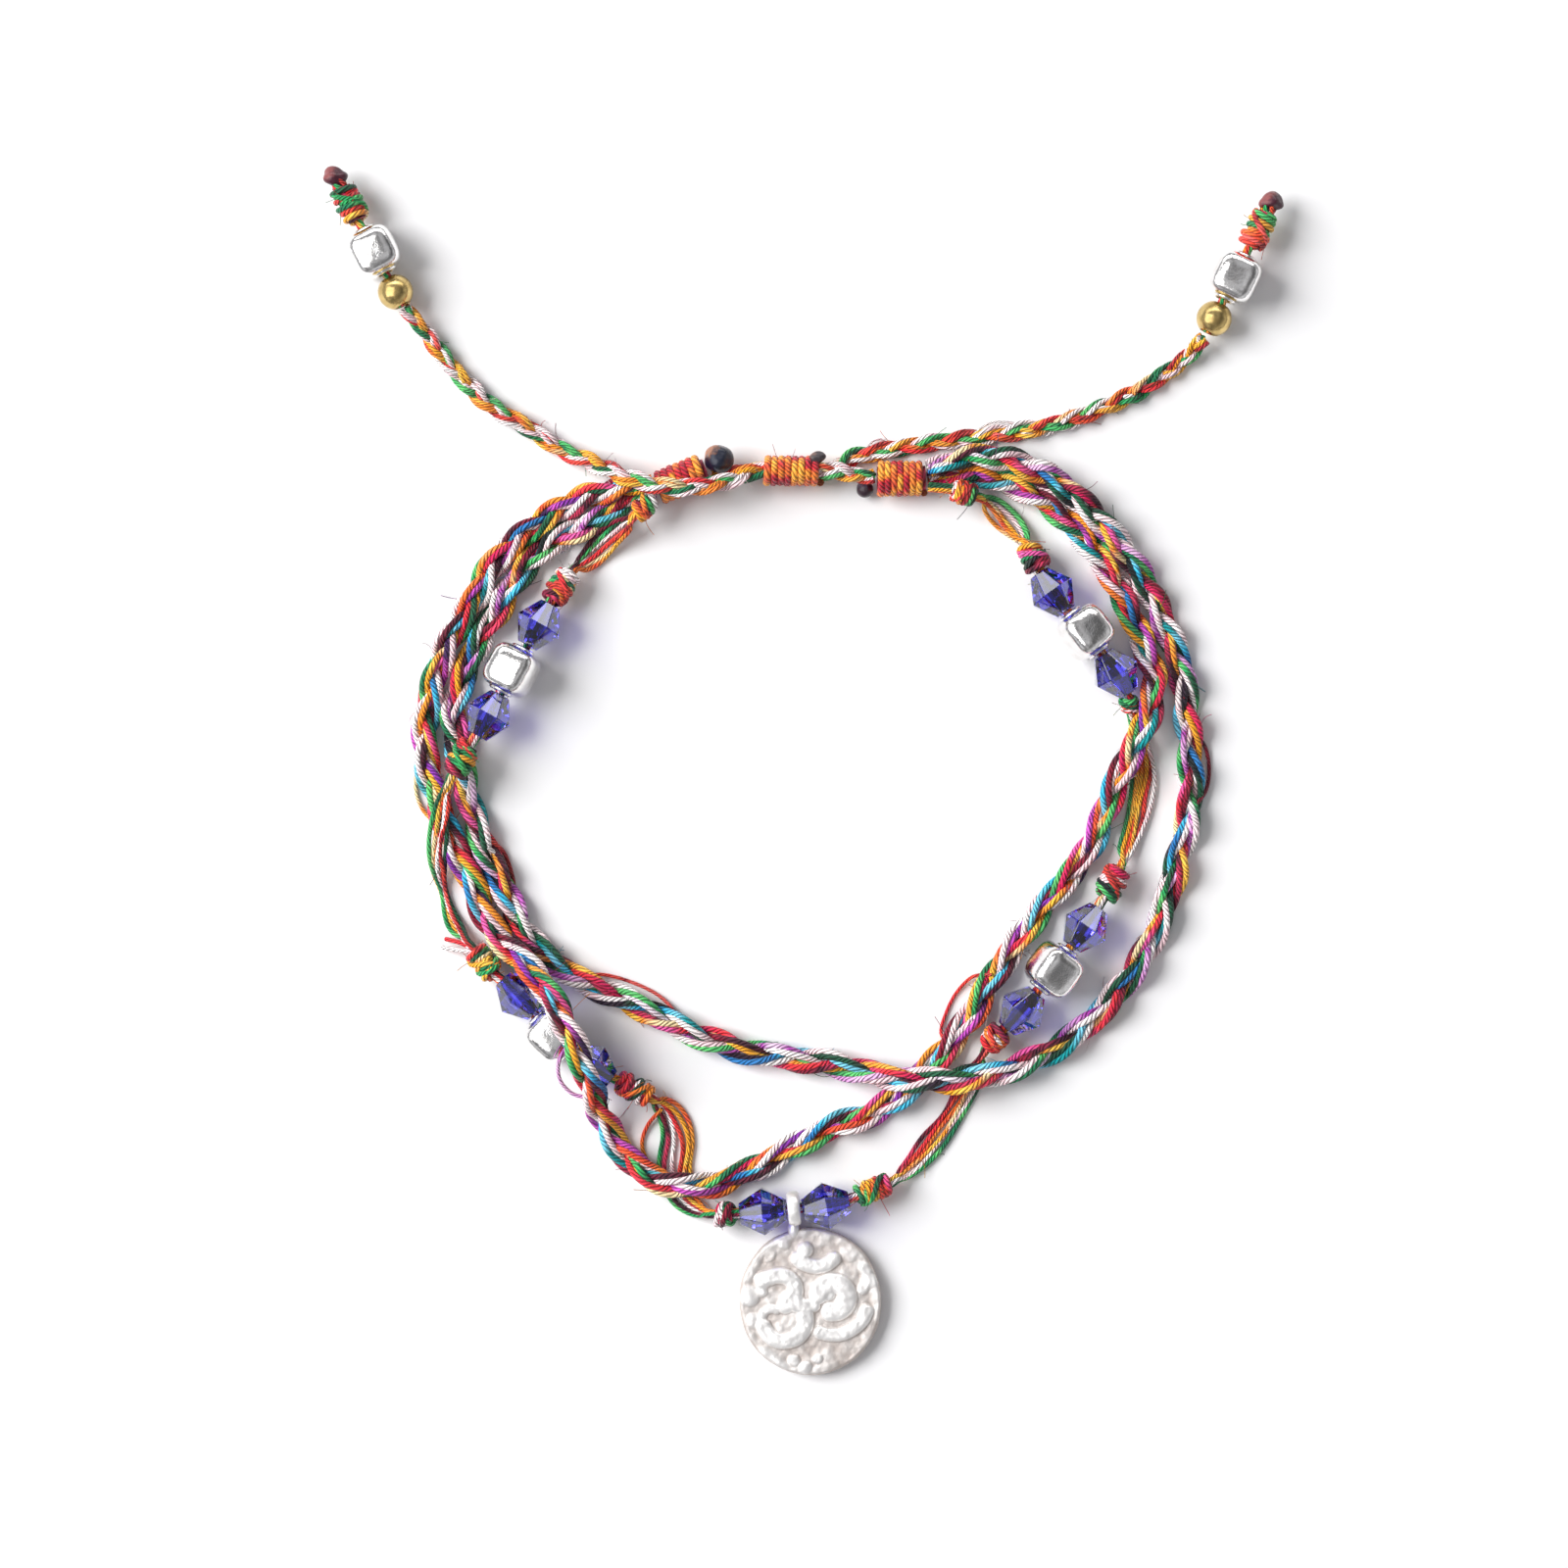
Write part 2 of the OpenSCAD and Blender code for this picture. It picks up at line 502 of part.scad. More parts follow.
for (i = [0:STRANDS - 1]) {
    color(["mediumturquoise", "purple", "crimson"][i]) braid_strand(MIDDLE_BRAID, i);
    color(["black", "orange", "green"][i]) braid_strand(LOWER_BRAID, i);
    color(["gold", "crimson", "green"][i]) cord_strand(LEFT_CORD, i);
    color(["gold", "crimson", "green"][i]) cord_strand(RIGHT_CORD, i);
}
for (i = [0:len(THREAD_SECTIONS) - 1])
    color("orange") beaded_thread(i);
for (i = [0:len(KNOT_DIAMETERS) - 1])
    color("orangered") bead_knot(i);
for (i = [0:CRYSTAL_COUNT - 1])
    color("royalblue") crystal(i);
for (i = [0:len(CUBES) - 1])
    color("silver") silver_cube(i);
for (i = [0:len(CORD_ENDS) - 1]) {
    color("goldenrod") brass_bead(i);
    color("silver") end_cube(i);
    color("seagreen") end_knot(i);
    color("dimgray") end_tip(i);
}
end_wrap(LEFT_WRAP);  // left_wrap
centre_wrap();
end_wrap(RIGHT_WRAP);  // right_wrap
melted_end(LEFT_MELTED_AT, LEFT_MELTED_D);  // left_wrap_melted_end
melted_end(RIGHT_MELTED_AT, RIGHT_MELTED_D);  // right_wrap_melted_end
pendant();
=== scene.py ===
"""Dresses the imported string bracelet: wound thread, glass, polished and cast metal, on a pale floor."""

from __future__ import annotations

import logging
import math
from collections.abc import Sequence
from dataclasses import dataclass
from enum import Enum
from functools import cache

import bmesh
import bpy
import numpy as np
from mathutils import Matrix, Vector, noise

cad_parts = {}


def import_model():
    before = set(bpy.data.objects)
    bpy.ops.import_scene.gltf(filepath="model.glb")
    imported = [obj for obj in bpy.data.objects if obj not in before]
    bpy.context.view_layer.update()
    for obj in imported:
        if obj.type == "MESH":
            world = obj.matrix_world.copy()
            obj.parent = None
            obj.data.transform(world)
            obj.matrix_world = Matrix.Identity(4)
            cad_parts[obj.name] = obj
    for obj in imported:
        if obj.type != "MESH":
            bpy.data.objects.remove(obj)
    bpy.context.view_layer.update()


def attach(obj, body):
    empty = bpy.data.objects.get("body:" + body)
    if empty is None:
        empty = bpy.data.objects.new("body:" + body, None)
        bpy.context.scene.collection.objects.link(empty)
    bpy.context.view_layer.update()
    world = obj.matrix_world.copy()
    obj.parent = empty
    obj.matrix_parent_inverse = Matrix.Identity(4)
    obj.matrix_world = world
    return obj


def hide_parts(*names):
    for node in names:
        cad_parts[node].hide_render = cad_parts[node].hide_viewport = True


log = logging.getLogger("string_bracelet")

MM = 0.001
BODY = "root"
UV_MAP = "UVMap"
FULL_TURN = 2 * math.pi
# Each thread takes its colours from its own place in this many millimetres of yarn.
YARN_REACH = 400
# Corners closer than this, in metres, are one corner.
SAME_PLACE = MM * 1e-4

Colour = tuple[float, float, float]
Row = tuple[float, ...]


class Slot(Enum):
    """The record's material slots."""

    TURQUOISE = "turquoise_thread"
    PURPLE = "purple_thread"
    CRIMSON = "crimson_thread"
    DARK = "dark_thread"
    GOLD = "gold_thread"
    GREEN = "green_thread"
    ORANGE = "orange_thread"
    CRYSTAL = "crystal"
    SILVER = "silver_metal"
    CAST = "cast_metal"
    BRASS = "brass"
    MELTED = "melted_thread"


class Wire:
    """An output socket with arithmetic, so that shader maths reads as plain expressions."""

    def __init__(self, graph: Graph, socket: bpy.types.NodeSocket) -> None:
        """Keeps the graph that new Math nodes go into."""
        self.graph = graph
        self.socket = socket

    def maths(self, operation: str, *terms: Wire | float) -> Wire:
        """Adds one Math node.

        Args:
            operation: The Math node's operation.
            terms: Its inputs, in order.

        Returns:
            The node's value.
        """
        return self.graph.node("ShaderNodeMath", {"operation": operation}, dict(enumerate(terms)))

    def __add__(self, other: Wire | float) -> Wire:
        """Sum."""
        return self.maths("ADD", self, other)

    def __radd__(self, other: float) -> Wire:
        """Sum, with the number first."""
        return self.maths("ADD", other, self)

    def __sub__(self, other: Wire | float) -> Wire:
        """Difference."""
        return self.maths("SUBTRACT", self, other)

    def __rsub__(self, other: float) -> Wire:
        """Difference, with the number first."""
        return self.maths("SUBTRACT", other, self)

    def __mul__(self, other: Wire | float) -> Wire:
        """Product."""
        return self.maths("MULTIPLY", self, other)

    def __rmul__(self, other: float) -> Wire:
        """Product, with the number first."""
        return self.maths("MULTIPLY", other, self)

    def __truediv__(self, other: Wire | float) -> Wire:
        """Quotient."""
        return self.maths("DIVIDE", self, other)

    def __pow__(self, other: Wire | float) -> Wire:
        """Power."""
        return self.maths("POWER", self, other)

    def __abs__(self) -> Wire:
        """Size without sign."""
        return self.maths("ABSOLUTE", self)

    def sine(self) -> Wire:
        """Sine of an angle in radians."""
        return self.maths("SINE", self)

    def clamped(self, low: float, high: float) -> Wire:
        """Share of the way from low to high, kept from 0 to 1.

        Args:
            low: The value that gives 0.
            high: The value that gives 1.

        Returns:
            The clamped share.
        """
        return self.graph.node("ShaderNodeMapRange", {"clamp": True}, {0: self, 1: low, 2: high})


class Graph:
    """A node tree that is built by plain calls."""

    GENERATED_COORDINATES = 0
    OBJECT_COORDINATES = 3

    def __init__(self, tree: bpy.types.NodeTree) -> None:
        """Empties the tree."""
        self.tree = tree
        tree.nodes.clear()

    def node(
        self, kind: str, settings: dict | None = None, sockets: dict | None = None, output: int = 0
    ) -> Wire:
        """Adds a node of any kind.

        Args:
            kind: The node's type.
            settings: Its properties, set first. "stops" are a colour ramp's places and colours.
            sockets: Values or wires for its inputs, by name or number.
            output: The number of the output to hand back.

        Returns:
            That output.
        """
        made = self.tree.nodes.new(kind)
        for name, value in (settings or {}).items():
            if name == "stops":
                self._set_stops(made.color_ramp, value)
            else:
                setattr(made, name, value)
        for name, value in (sockets or {}).items():
            if isinstance(value, Wire):
                self.tree.links.new(value.socket, made.inputs[name])
            else:
                made.inputs[name].default_value = value
        return Wire(self, made.outputs[output]) if made.outputs else Wire(self, None)

    @staticmethod
    def _set_stops(ramp: bpy.types.ColorRamp, stops: Sequence[tuple[float, Colour]]) -> None:
        """Gives a colour ramp its stops.

        Args:
            ramp: The ramp.
            stops: Each stop's place and colour, in order of place.
        """
        while len(ramp.elements) < len(stops):
            ramp.elements.new(1.0)
        for element, (place, colour) in zip(ramp.elements, stops):
            element.position = place
            element.color = (*colour, 1.0)

    def mix(self, blend: str, factor: Wire | float, first: Wire | Colour, second: Wire | Colour) -> Wire:
        """Mixes two colours.

        Args:
            blend: The blend type, such as MIX or MULTIPLY.
            factor: How much of the second colour shows.
            first: The colour below.
            second: The colour above.

        Returns:
            The mixed colour.
        """
        colours = [c if isinstance(c, Wire) else (*c, 1.0) for c in (first, second)]
        return self.node(
            "ShaderNodeMix",
            {"data_type": "RGBA", "blend_type": blend, "clamp_factor": True},
            {0: factor, 6: colours[0], 7: colours[1]},
            output=2,
        )

    def part(self, vector: Wire, axis: int) -> Wire:
        """One of a vector's three numbers."""
        return self.node("ShaderNodeSeparateXYZ", None, {0: vector}, output=axis)

    def grey(self, level: Wire) -> Wire:
        """A value as a grey colour."""
        return self.node("ShaderNodeCombineColor", None, {0: level, 1: level, 2: level})

    def place(self) -> Wire:
        """The place in the piece's own space, in metres."""
        return self.node("ShaderNodeTexCoord", output=self.OBJECT_COORDINATES)

    def spots(self, size_mm: float, detail: float, shift: float = 0.0) -> Wire:
        """Cloudy pattern in the piece's own space.

        Args:
            size_mm: The size of a cloud.
            detail: How many finer layers it has.
            shift: Moves the pattern, so that two layers differ.

        Returns:
            A value that mostly lies from 0.3 to 0.7.
        """
        sockets = {"Vector": self.place(), "Location": (shift, shift, shift)}
        moved = self.node("ShaderNodeMapping", None, sockets)
        sockets = {"Vector": moved, "Scale": 1 / (size_mm * MM), "Detail": detail}
        return self.node("ShaderNodeTexNoise", None, sockets)

    def line_noise(self, along: Wire, scale: float, detail: float) -> Wire:
        """Noise along a thread.

        Args:
            along: The distance along it.
            scale: How many clouds fit in a unit of that distance.
            detail: How many finer layers the noise has.

        Returns:
            A value that mostly lies from 0.36 to 0.64.
        """
        sockets = {"W": along, "Scale": scale, "Detail": detail}
        return self.node("ShaderNodeTexNoise", {"noise_dimensions": "1D"}, sockets)

    def bump(self, height: Wire, depth_mm: float) -> Wire:
        """Surface relief of a given depth from a height of 0 to 1."""
        sockets = {"Height": height, "Distance": depth_mm * MM, "Strength": 1.0}
        return self.node("ShaderNodeBump", None, sockets)

    def principled(self, sockets: dict) -> Wire:
        """A Principled shader with these inputs."""
        return self.node("ShaderNodeBsdfPrincipled", None, sockets)

    def finish(self, shader: Wire) -> None:
        """Sends a shader to the material's surface."""
        self.node("ShaderNodeOutputMaterial", None, {0: shader})


def new_graph(name: str) -> tuple[bpy.types.Material, Graph]:
    """Makes an empty node material.

    Args:
        name: The material's name.

    Returns:
        The material and its graph.
    """
    material = bpy.data.materials.new(name)
    material.use_nodes = True
    return material, Graph(material.node_tree)


class Finish:
    """A surface finish that is made once and then shared."""

    name: str
    slot: Slot

    def make(self) -> bpy.types.Material:
        """Builds the finish's material."""
        raise NotImplementedError


@cache
def material_of(finish: Finish) -> bpy.types.Material:
    """The material of a finish, made when it is first asked for."""
    return finish.make()


@dataclass(frozen=True)
class Yarn(Finish):
    """Space-dyed cotton thread: its shade drifts along its length, and its plies show as a twist, with
    painted shade in the grooves between them and painted light on their crowns.
    """

    name: str
    shades: tuple[Colour, ...]
    slot: Slot
    run_mm: float = 7.0
    plies: int = 4
    ply_step_mm: float = 0.46
    ply_depth_mm: float = 0.13

    SHADE_SPAN = (0.36, 0.64)
    SLACK_PER_MM = 0.8
    SLACK_TURNS = 1.5
    PAINTED_GROOVE_SHADE = 0.3
    PAINTED_PLY_LIGHT = 1.02
    PLY_ROUNDNESS = 0.8
    FIBRE_MM = 0.1
    FIBRE_SHADE = 0.7
    FIBRE_DEPTH = 0.5
    GROOVE_ROUGHNESS = 0.6
    PLY_POLISH = 0.2

    def make(self) -> bpy.types.Material:
        """Builds the thread's material.

        Returns:
            A material that reads the thread's own UV map: millimetres along it, then turns round it.
        """
        material, graph = new_graph(self.name)
        uv = graph.node("ShaderNodeUVMap", {"uv_map": UV_MAP})
        along, around = graph.part(uv, 0), graph.part(uv, 1)
        drift = graph.line_noise(along / self.run_mm, 1.0, 1.0)
        places = np.linspace(*self.SHADE_SPAN, len(self.shades))
        stops = list(zip(places.tolist(), self.shades))
        shade = graph.node("ShaderNodeValToRGB", {"stops": stops}, {0: drift})
        slack = graph.line_noise(along, self.SLACK_PER_MM, 0.0)
        twist = around * self.plies + along / self.ply_step_mm + self.SLACK_TURNS * slack
        ply = abs((twist * math.pi).sine())
        fibre = graph.spots(self.FIBRE_MM, 3.0)
        # Painted shade: the base colour is darkened in the grooves between plies and lightened on their
        # crowns.
        rounded = self.PAINTED_GROOVE_SHADE + self.PAINTED_PLY_LIGHT * ply**self.PLY_ROUNDNESS
        painted_ply_shade_and_fibre_tone = rounded * (self.FIBRE_SHADE + self.FIBRE_SHADE * fibre)
        graph.finish(graph.principled({
            "Base Color": graph.mix("MULTIPLY", 1.0, shade, graph.grey(painted_ply_shade_and_fibre_tone)),
            "Roughness": self.GROOVE_ROUGHNESS - self.PLY_POLISH * ply,
            "Sheen Weight": 0.08,
            "Sheen Roughness": 0.4,
            "Specular IOR Level": 0.45,
            "Normal": graph.bump(ply + self.FIBRE_DEPTH * fibre, self.ply_depth_mm),
        }))
        return material


TURQUOISE = Yarn(
    "turquoise_yarn",
    ((0.02, 0.17, 0.45), (0.03, 0.48, 0.74), (0.2, 0.62, 0.82), (0.0, 0.26, 0.28)),
    Slot.TURQUOISE,
)
WHITE = Yarn(
    "white_yarn",
    ((0.98, 0.9, 0.89), (0.96, 0.66, 0.7), (0.98, 0.95, 0.93), (0.86, 0.6, 0.64)),
    Slot.PURPLE,
)
GREEN = Yarn(
    "green_yarn",
    ((0.01, 0.09, 0.04), (0.02, 0.36, 0.1), (0.12, 0.55, 0.15), (0.01, 0.17, 0.07)),
    Slot.GREEN,
)
DARK_GREEN = Yarn(
    "dark_green_yarn",
    ((0.006, 0.012, 0.014), (0.01, 0.1, 0.045), (0.02, 0.008, 0.02)),
    Slot.DARK,
)
MAROON = Yarn("maroon_yarn", ((0.24, 0.008, 0.03), (0.04, 0.008, 0.02), (0.55, 0.03, 0.09)), Slot.DARK)
GOLD = Yarn(
    "gold_yarn",
    ((0.92, 0.38, 0.02), (0.98, 0.58, 0.08), (0.88, 0.24, 0.02), (0.96, 0.74, 0.4)),
    Slot.GOLD,
)
ORANGE = Yarn("orange_yarn", ((0.93, 0.29, 0.02), (0.85, 0.07, 0.03), (0.96, 0.48, 0.04)), Slot.ORANGE)
CRIMSON = Yarn("crimson_yarn", ((0.66, 0.012, 0.1), (0.75, 0.03, 0.04), (0.8, 0.1, 0.36)), Slot.CRIMSON)
RED = Yarn(
    "red_yarn",
    ((0.8, 0.03, 0.04), (0.85, 0.07, 0.04), (0.32, 0.01, 0.02), (0.92, 0.12, 0.1)),
    Slot.CRIMSON,
)
LILAC = Yarn(
    "lilac_yarn",
    ((0.58, 0.12, 0.55), (0.85, 0.5, 0.78), (0.36, 0.03, 0.36), (0.92, 0.78, 0.88)),
    Slot.PURPLE,
)
PURPLE = Yarn("purple_yarn", ((0.24, 0.03, 0.38), (0.6, 0.08, 0.5), (0.04, 0.01, 0.07)), Slot.PURPLE)
WRAP_YARN = Yarn(
    "wrap_yarn",
    ((0.4, 0.012, 0.03), (0.6, 0.025, 0.035), (0.9, 0.26, 0.03), (0.95, 0.4, 0.05)),
    Slot.ORANGE,
    run_mm=2.6,
    ply_step_mm=0.4,
    ply_depth_mm=0.12,
)


@dataclass(frozen=True)
class CutGlass(Finish):
    """Cobalt glass that lets tinted light through to the floor."""

    name: str = "cobalt_glass"
    slot: Slot = Slot.CRYSTAL
    tint: Colour = (0.08, 0.07, 0.88)
    shade_on_floor: Colour = (0.32, 0.29, 0.56)

    SHADOW_RAY = 1
    DIFFUSE_RAY = 2
    CLOUD_MM = 1.4
    CLOUD_SPAN = (0.4, 0.62)
    DEEPER = 0.6

    def make(self) -> bpy.types.Material:
        """Builds the glass material.

        Returns:
            A material that is a plain tinted veil to the light that falls on the floor.
        """
        material, graph = new_graph(self.name)
        cloud = graph.spots(self.CLOUD_MM, 1.0).clamped(*self.CLOUD_SPAN)
        deep = tuple(self.DEEPER * c for c in self.tint)
        mixed = graph.principled({
            "Base Color": graph.mix("MIX", cloud, self.tint, deep),
            "Roughness": 0.02,
            "IOR": 1.56,
            "Transmission Weight": 1.0,
            "Coat Weight": 1.0,
            "Coat IOR": 1.85,
            "Coat Roughness": 0.02,
        })
        veil = graph.node("ShaderNodeBsdfTransparent", None, {0: (*self.shade_on_floor, 1.0)})
        for ray in (self.SHADOW_RAY, self.DIFFUSE_RAY):
            met = graph.node("ShaderNodeLightPath", output=ray)
            mixed = graph.node("ShaderNodeMixShader", None, {0: met, 1: mixed, 2: veil})
        graph.finish(mixed)
        return material


@dataclass(frozen=True)
class Metal(Finish):
    """Metal with faint handling marks: a little duller and rougher in random clouds."""

    name: str
    slot: Slot
    colour: Colour
    dull: Colour
    roughness: float
    wear_mm: float
    dent_mm: float

    CLOUD_SPAN = (0.35, 0.65)
    FINER = 6
    FINE_SHIFT = 0.4
    FINE_DEPTH = 0.3
    POLISHED = 0.7
    DULLED = 0.6

    def make(self) -> bpy.types.Material:
        """Builds the metal's material.

        Returns:
            A material that is a little rougher and duller in clouds.
        """
        material, graph = new_graph(self.name)
        cloud = graph.spots(self.wear_mm, 3.0)
        fine = graph.spots(self.wear_mm / self.FINER, 2.0, self.FINE_SHIFT)
        worn = cloud.clamped(*self.CLOUD_SPAN)
        graph.finish(graph.principled({
            "Base Color": graph.mix("MIX", worn, self.colour, self.dull),
            "Metallic": 1.0,
            "Roughness": self.roughness * (self.POLISHED + self.DULLED * worn),
            "Normal": graph.bump(cloud + self.FINE_DEPTH * fine, self.dent_mm),
        }))
        return material


SILVER = Metal("polished_silver", Slot.SILVER, (0.97, 0.96, 0.95), (0.86, 0.84, 0.82), 0.13, 0.9, 0.035)
BRASS = Metal("polished_brass", Slot.BRASS, (0.78, 0.58, 0.24), (0.5, 0.35, 0.13), 0.25, 1.0, 0.02)


@dataclass(frozen=True)
class CastSilver(Finish):
    """Cast silver with painted shade and painted light: dull and warm in its hollows, near white on the
    raised relief, which is also smoother.
    """

    name: str = "cast_silver"
    slot: Slot = Slot.CAST
    # Painted light on the raised relief, then painted shade in the hollows.
    painted_relief_light: Colour = (0.98, 0.96, 0.94)
    painted_hollow_shade: Colour = (0.6, 0.53, 0.49)
    painted_shade_at_mm: float = 1.14
    painted_light_at_mm: float = 1.42

    CLOUD_MM = 1.1
    FINE_MM = 0.22
    FINE_SHIFT = 0.3
    FINE_DEPTH = 0.3
    RAGGED_MM = 0.3
    HOLLOW_ROUGHNESS = 0.52
    RUBBED_POLISH = 0.16
    DENT_MM = 0.08

    def make(self) -> bpy.types.Material:
        """Builds the cast silver material.

        Returns:
            A material whose colour and roughness follow the height of the relief.
        """
        material, graph = new_graph(self.name)
        cloud = graph.spots(self.CLOUD_MM, 3.0)
        fine = graph.spots(self.FINE_MM, 3.0, self.FINE_SHIFT)
        height_mm = graph.part(graph.place(), 2) / MM
        ragged = height_mm + self.RAGGED_MM * cloud - self.RAGGED_MM / 2
        # Painted shade and light: the colour runs from the painted hollow shade low down to near white on the
        # raised relief.
        raised = ragged.clamped(self.painted_shade_at_mm, self.painted_light_at_mm)
        graph.finish(graph.principled({
            "Base Color": graph.mix("MIX", raised, self.painted_hollow_shade, self.painted_relief_light),
            "Metallic": 0.5,
            "Roughness": self.HOLLOW_ROUGHNESS - self.RUBBED_POLISH * raised,
            "Normal": graph.bump(cloud + self.FINE_DEPTH * fine, self.DENT_MM),
        }))
        return material


@dataclass(frozen=True)
class MeltedThread(Finish):
    """Thread end melted into a glossy dark lump, with a warmer colour painted on its side toward the lamps at
    the upper left as painted light.
    """

    name: str
    char: Colour
    warm_lit_side: Colour
    centre: Row
    # Painted light: the warmer colour goes on the side that faces this direction, toward the lamps.
    lit_side_direction: Row = (-1.0, 1.0, 0.3)
    lit_side_from_mm: float = 0.2
    slot: Slot = Slot.MELTED

    CLOUD_MM = 0.7
    FINE_MM = 0.16
    FINE_SHIFT = 0.2
    RAGGED_MM = 1.6
    BLEND_MM = 0.4
    SOOT = (0.45, 0.45, 0.5)
    SMOOTHEST = 0.16
    FINE_ROUGHNESS = 0.4
    FINE_DEPTH = 0.4
    DENT_MM = 0.1

    def make(self) -> bpy.types.Material:
        """Builds the melted lump's material.

        Returns:
            A material with the char on one side of the lump's middle and the warmer, painted lit side on the
            other.
        """
        material, graph = new_graph(self.name)
        cloud = graph.spots(self.CLOUD_MM, 3.0)
        fine = graph.spots(self.FINE_MM, 3.0, self.FINE_SHIFT)
        inward = tuple(-c * MM for c in self.centre)
        away = graph.node("ShaderNodeMapping", None, {"Vector": graph.place(), "Location": inward})
        dot = {"operation": "DOT_PRODUCT"}
        side = Vector(self.lit_side_direction).normalized()
        across_mm = graph.node("ShaderNodeVectorMath", dot, {0: away, 1: side}, output=1) / MM
        ragged = across_mm + self.RAGGED_MM * cloud - self.RAGGED_MM / 2
        # Painted light: the warmer colour covers the side of the lump toward the lamps at the upper left.
        painted_lit_share = ragged.clamped(self.lit_side_from_mm, self.lit_side_from_mm + self.BLEND_MM)
        colour = graph.mix("MIX", painted_lit_share, self.char, self.warm_lit_side)
        graph.finish(graph.principled({
            "Base Color": graph.mix("MULTIPLY", fine, colour, self.SOOT),
            "Roughness": self.SMOOTHEST + self.FINE_ROUGHNESS * fine,
            "Coat Weight": 0.4,
            "Normal": graph.bump(cloud + self.FINE_DEPTH * fine, self.DENT_MM),
        }))
        return material


def unit(vectors: np.ndarray) -> np.ndarray:
    """Vectors made one long."""
    return vectors / np.linalg.norm(vectors, axis=-1, keepdims=True)


def ease(x: np.ndarray | float) -> np.ndarray:
    """Smooth step from 0 to 1."""
    t = np.clip(x, 0, 1)
    return t * t * (3 - 2 * t)


def walk(path: np.ndarray) -> np.ndarray:
    """The distance walked along a path at each of its points."""
    steps = np.linalg.norm(np.diff(path[:, :3], axis=0), axis=1)
    return np.concatenate([[0], np.cumsum(steps)])


class Route:
    """A smooth line through given places, in millimetres, with any further numbers of each place."""

    STEPS = 6

    def __init__(self, places: Sequence[Row]) -> None:
        """Draws the curve through the places.

        Args:
            places: Rows of x, y, z and any further numbers.
        """
        p = np.array(places, float)
        before, after = np.vstack([p[:1], p[:-1]]), np.vstack([p[1:], p[-1:]])
        later = np.vstack([p[2:], p[-1:], p[-1:]])
        points = []
        for a, b, c, d in zip(before[:-1], p[:-1], after[:-1], later[:-1]):
            for t in np.arange(self.STEPS) / self.STEPS:
                points.append(0.5 * (
                    2 * b + (c - a) * t + (2 * a - 5 * b + 4 * c - d) * t**2 + (3 * b - a - 3 * c + d) * t**3
                ))
        self.points = np.array([*points, p[-1]])
        self.distances = walk(self.points)
        self.length = float(self.distances[-1])

    def at(self, shares: np.ndarray) -> np.ndarray:
        """Places at given shares of the length.

        Args:
            shares: Numbers from 0 to 1.

        Returns:
            A row for each, with all the numbers of the route.
        """
        wanted = shares * self.length
        columns = [np.interp(wanted, self.distances, column) for column in self.points.T]
        return np.stack(columns, axis=1)

    def evenly(self, step: float) -> np.ndarray:
        """Places at even steps along the whole route."""
        return self.at(np.linspace(0, 1, round(self.length / step)))


def beside(path: np.ndarray, sideways: np.ndarray, upward: np.ndarray) -> np.ndarray:
    """A path that runs off another one.

    Args:
        path: The other path's points.
        sideways: How far off it each point lies, level and across it.
        upward: How far above it each point lies.

    Returns:
        The new path's points.
    """
    heading = unit(np.gradient(path[:, :3], axis=0))
    side = unit(np.cross(heading, [0, 0, 1]))
    up = np.cross(side, heading)
    return path[:, :3] + side * sideways[:, None] + up * upward[:, None]


@dataclass
class Thread:
    """One length of yarn laid along a path, in millimetres."""

    path: np.ndarray
    diameter: float
    yarn: Finish
    starts_at: float = 0.0
    roundness: int = 2

    def mesh(self) -> bpy.types.Mesh:
        """Sweeps a round section along the path.

        Returns:
            A mesh in metres, with a UV map of millimetres along and turns round.
        """
        curve = bpy.data.curves.new("thread", "CURVE")
        curve.dimensions = "3D"
        curve.bevel_depth = self.diameter / 2 * MM
        curve.bevel_resolution = self.roundness
        curve.use_fill_caps = True
        spline = curve.splines.new("POLY")
        spline.points.add(len(self.path) - 1)
        rows = np.column_stack([self.path[:, :3] * MM, np.ones(len(self.path))])
        spline.points.foreach_set("co", rows.ravel())
        holder = bpy.data.objects.new("thread", curve)
        mesh = bpy.data.meshes.new_from_object(holder)
        bpy.data.objects.remove(holder)
        bpy.data.curves.remove(curve)
        layer = mesh.uv_layers[UV_MAP].uv
        places = np.zeros(len(layer) * 2, np.float32)
        layer.foreach_get("vector", places)
        places[0::2] = places[0::2] * walk(self.path)[-1] + self.starts_at
        layer.foreach_set("vector", places)
        return mesh


def shade_smooth(bm: bmesh.types.BMesh) -> None:
    """Shades every face smoothly."""
    for face in bm.faces:
        face.smooth = True


def join(bm: bmesh.types.BMesh, part: bmesh.types.BMesh) -> None:
    """Adds a part to a shape.

    Args:
        bm: The shape.
        part: The part, which is freed.
    """
    mesh = bpy.data.meshes.new("part")
    part.to_mesh(mesh)
    part.free()
    bm.from_mesh(mesh)
    bpy.data.meshes.remove(mesh)


def place_piece(
    name: str, bm: bmesh.types.BMesh, finishes: Sequence[Finish], nodes: Sequence[str]
) -> bpy.types.Object:
    """Turns a finished bmesh into a piece of the bracelet.

    Args:
        name: The piece's name.
        bm: Its shape in metres, which is freed.
        finishes: Its finishes, in the order of the faces' material numbers.
        nodes: The CAD nodes that it stands for.

    Returns:
        The piece, riding on the bracelet's body.
    """
    mesh = bpy.data.meshes.new(name)
    bm.to_mesh(mesh)
    bm.free()
    piece = bpy.data.objects.new(name, mesh)
    bpy.context.scene.collection.objects.link(piece)
    for finish in finishes:
        mesh.materials.append(material_of(finish))
    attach(piece, BODY)
    if nodes:
        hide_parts(*nodes)
    log.info("%s: %d faces", name, len(mesh.polygons))
    return piece


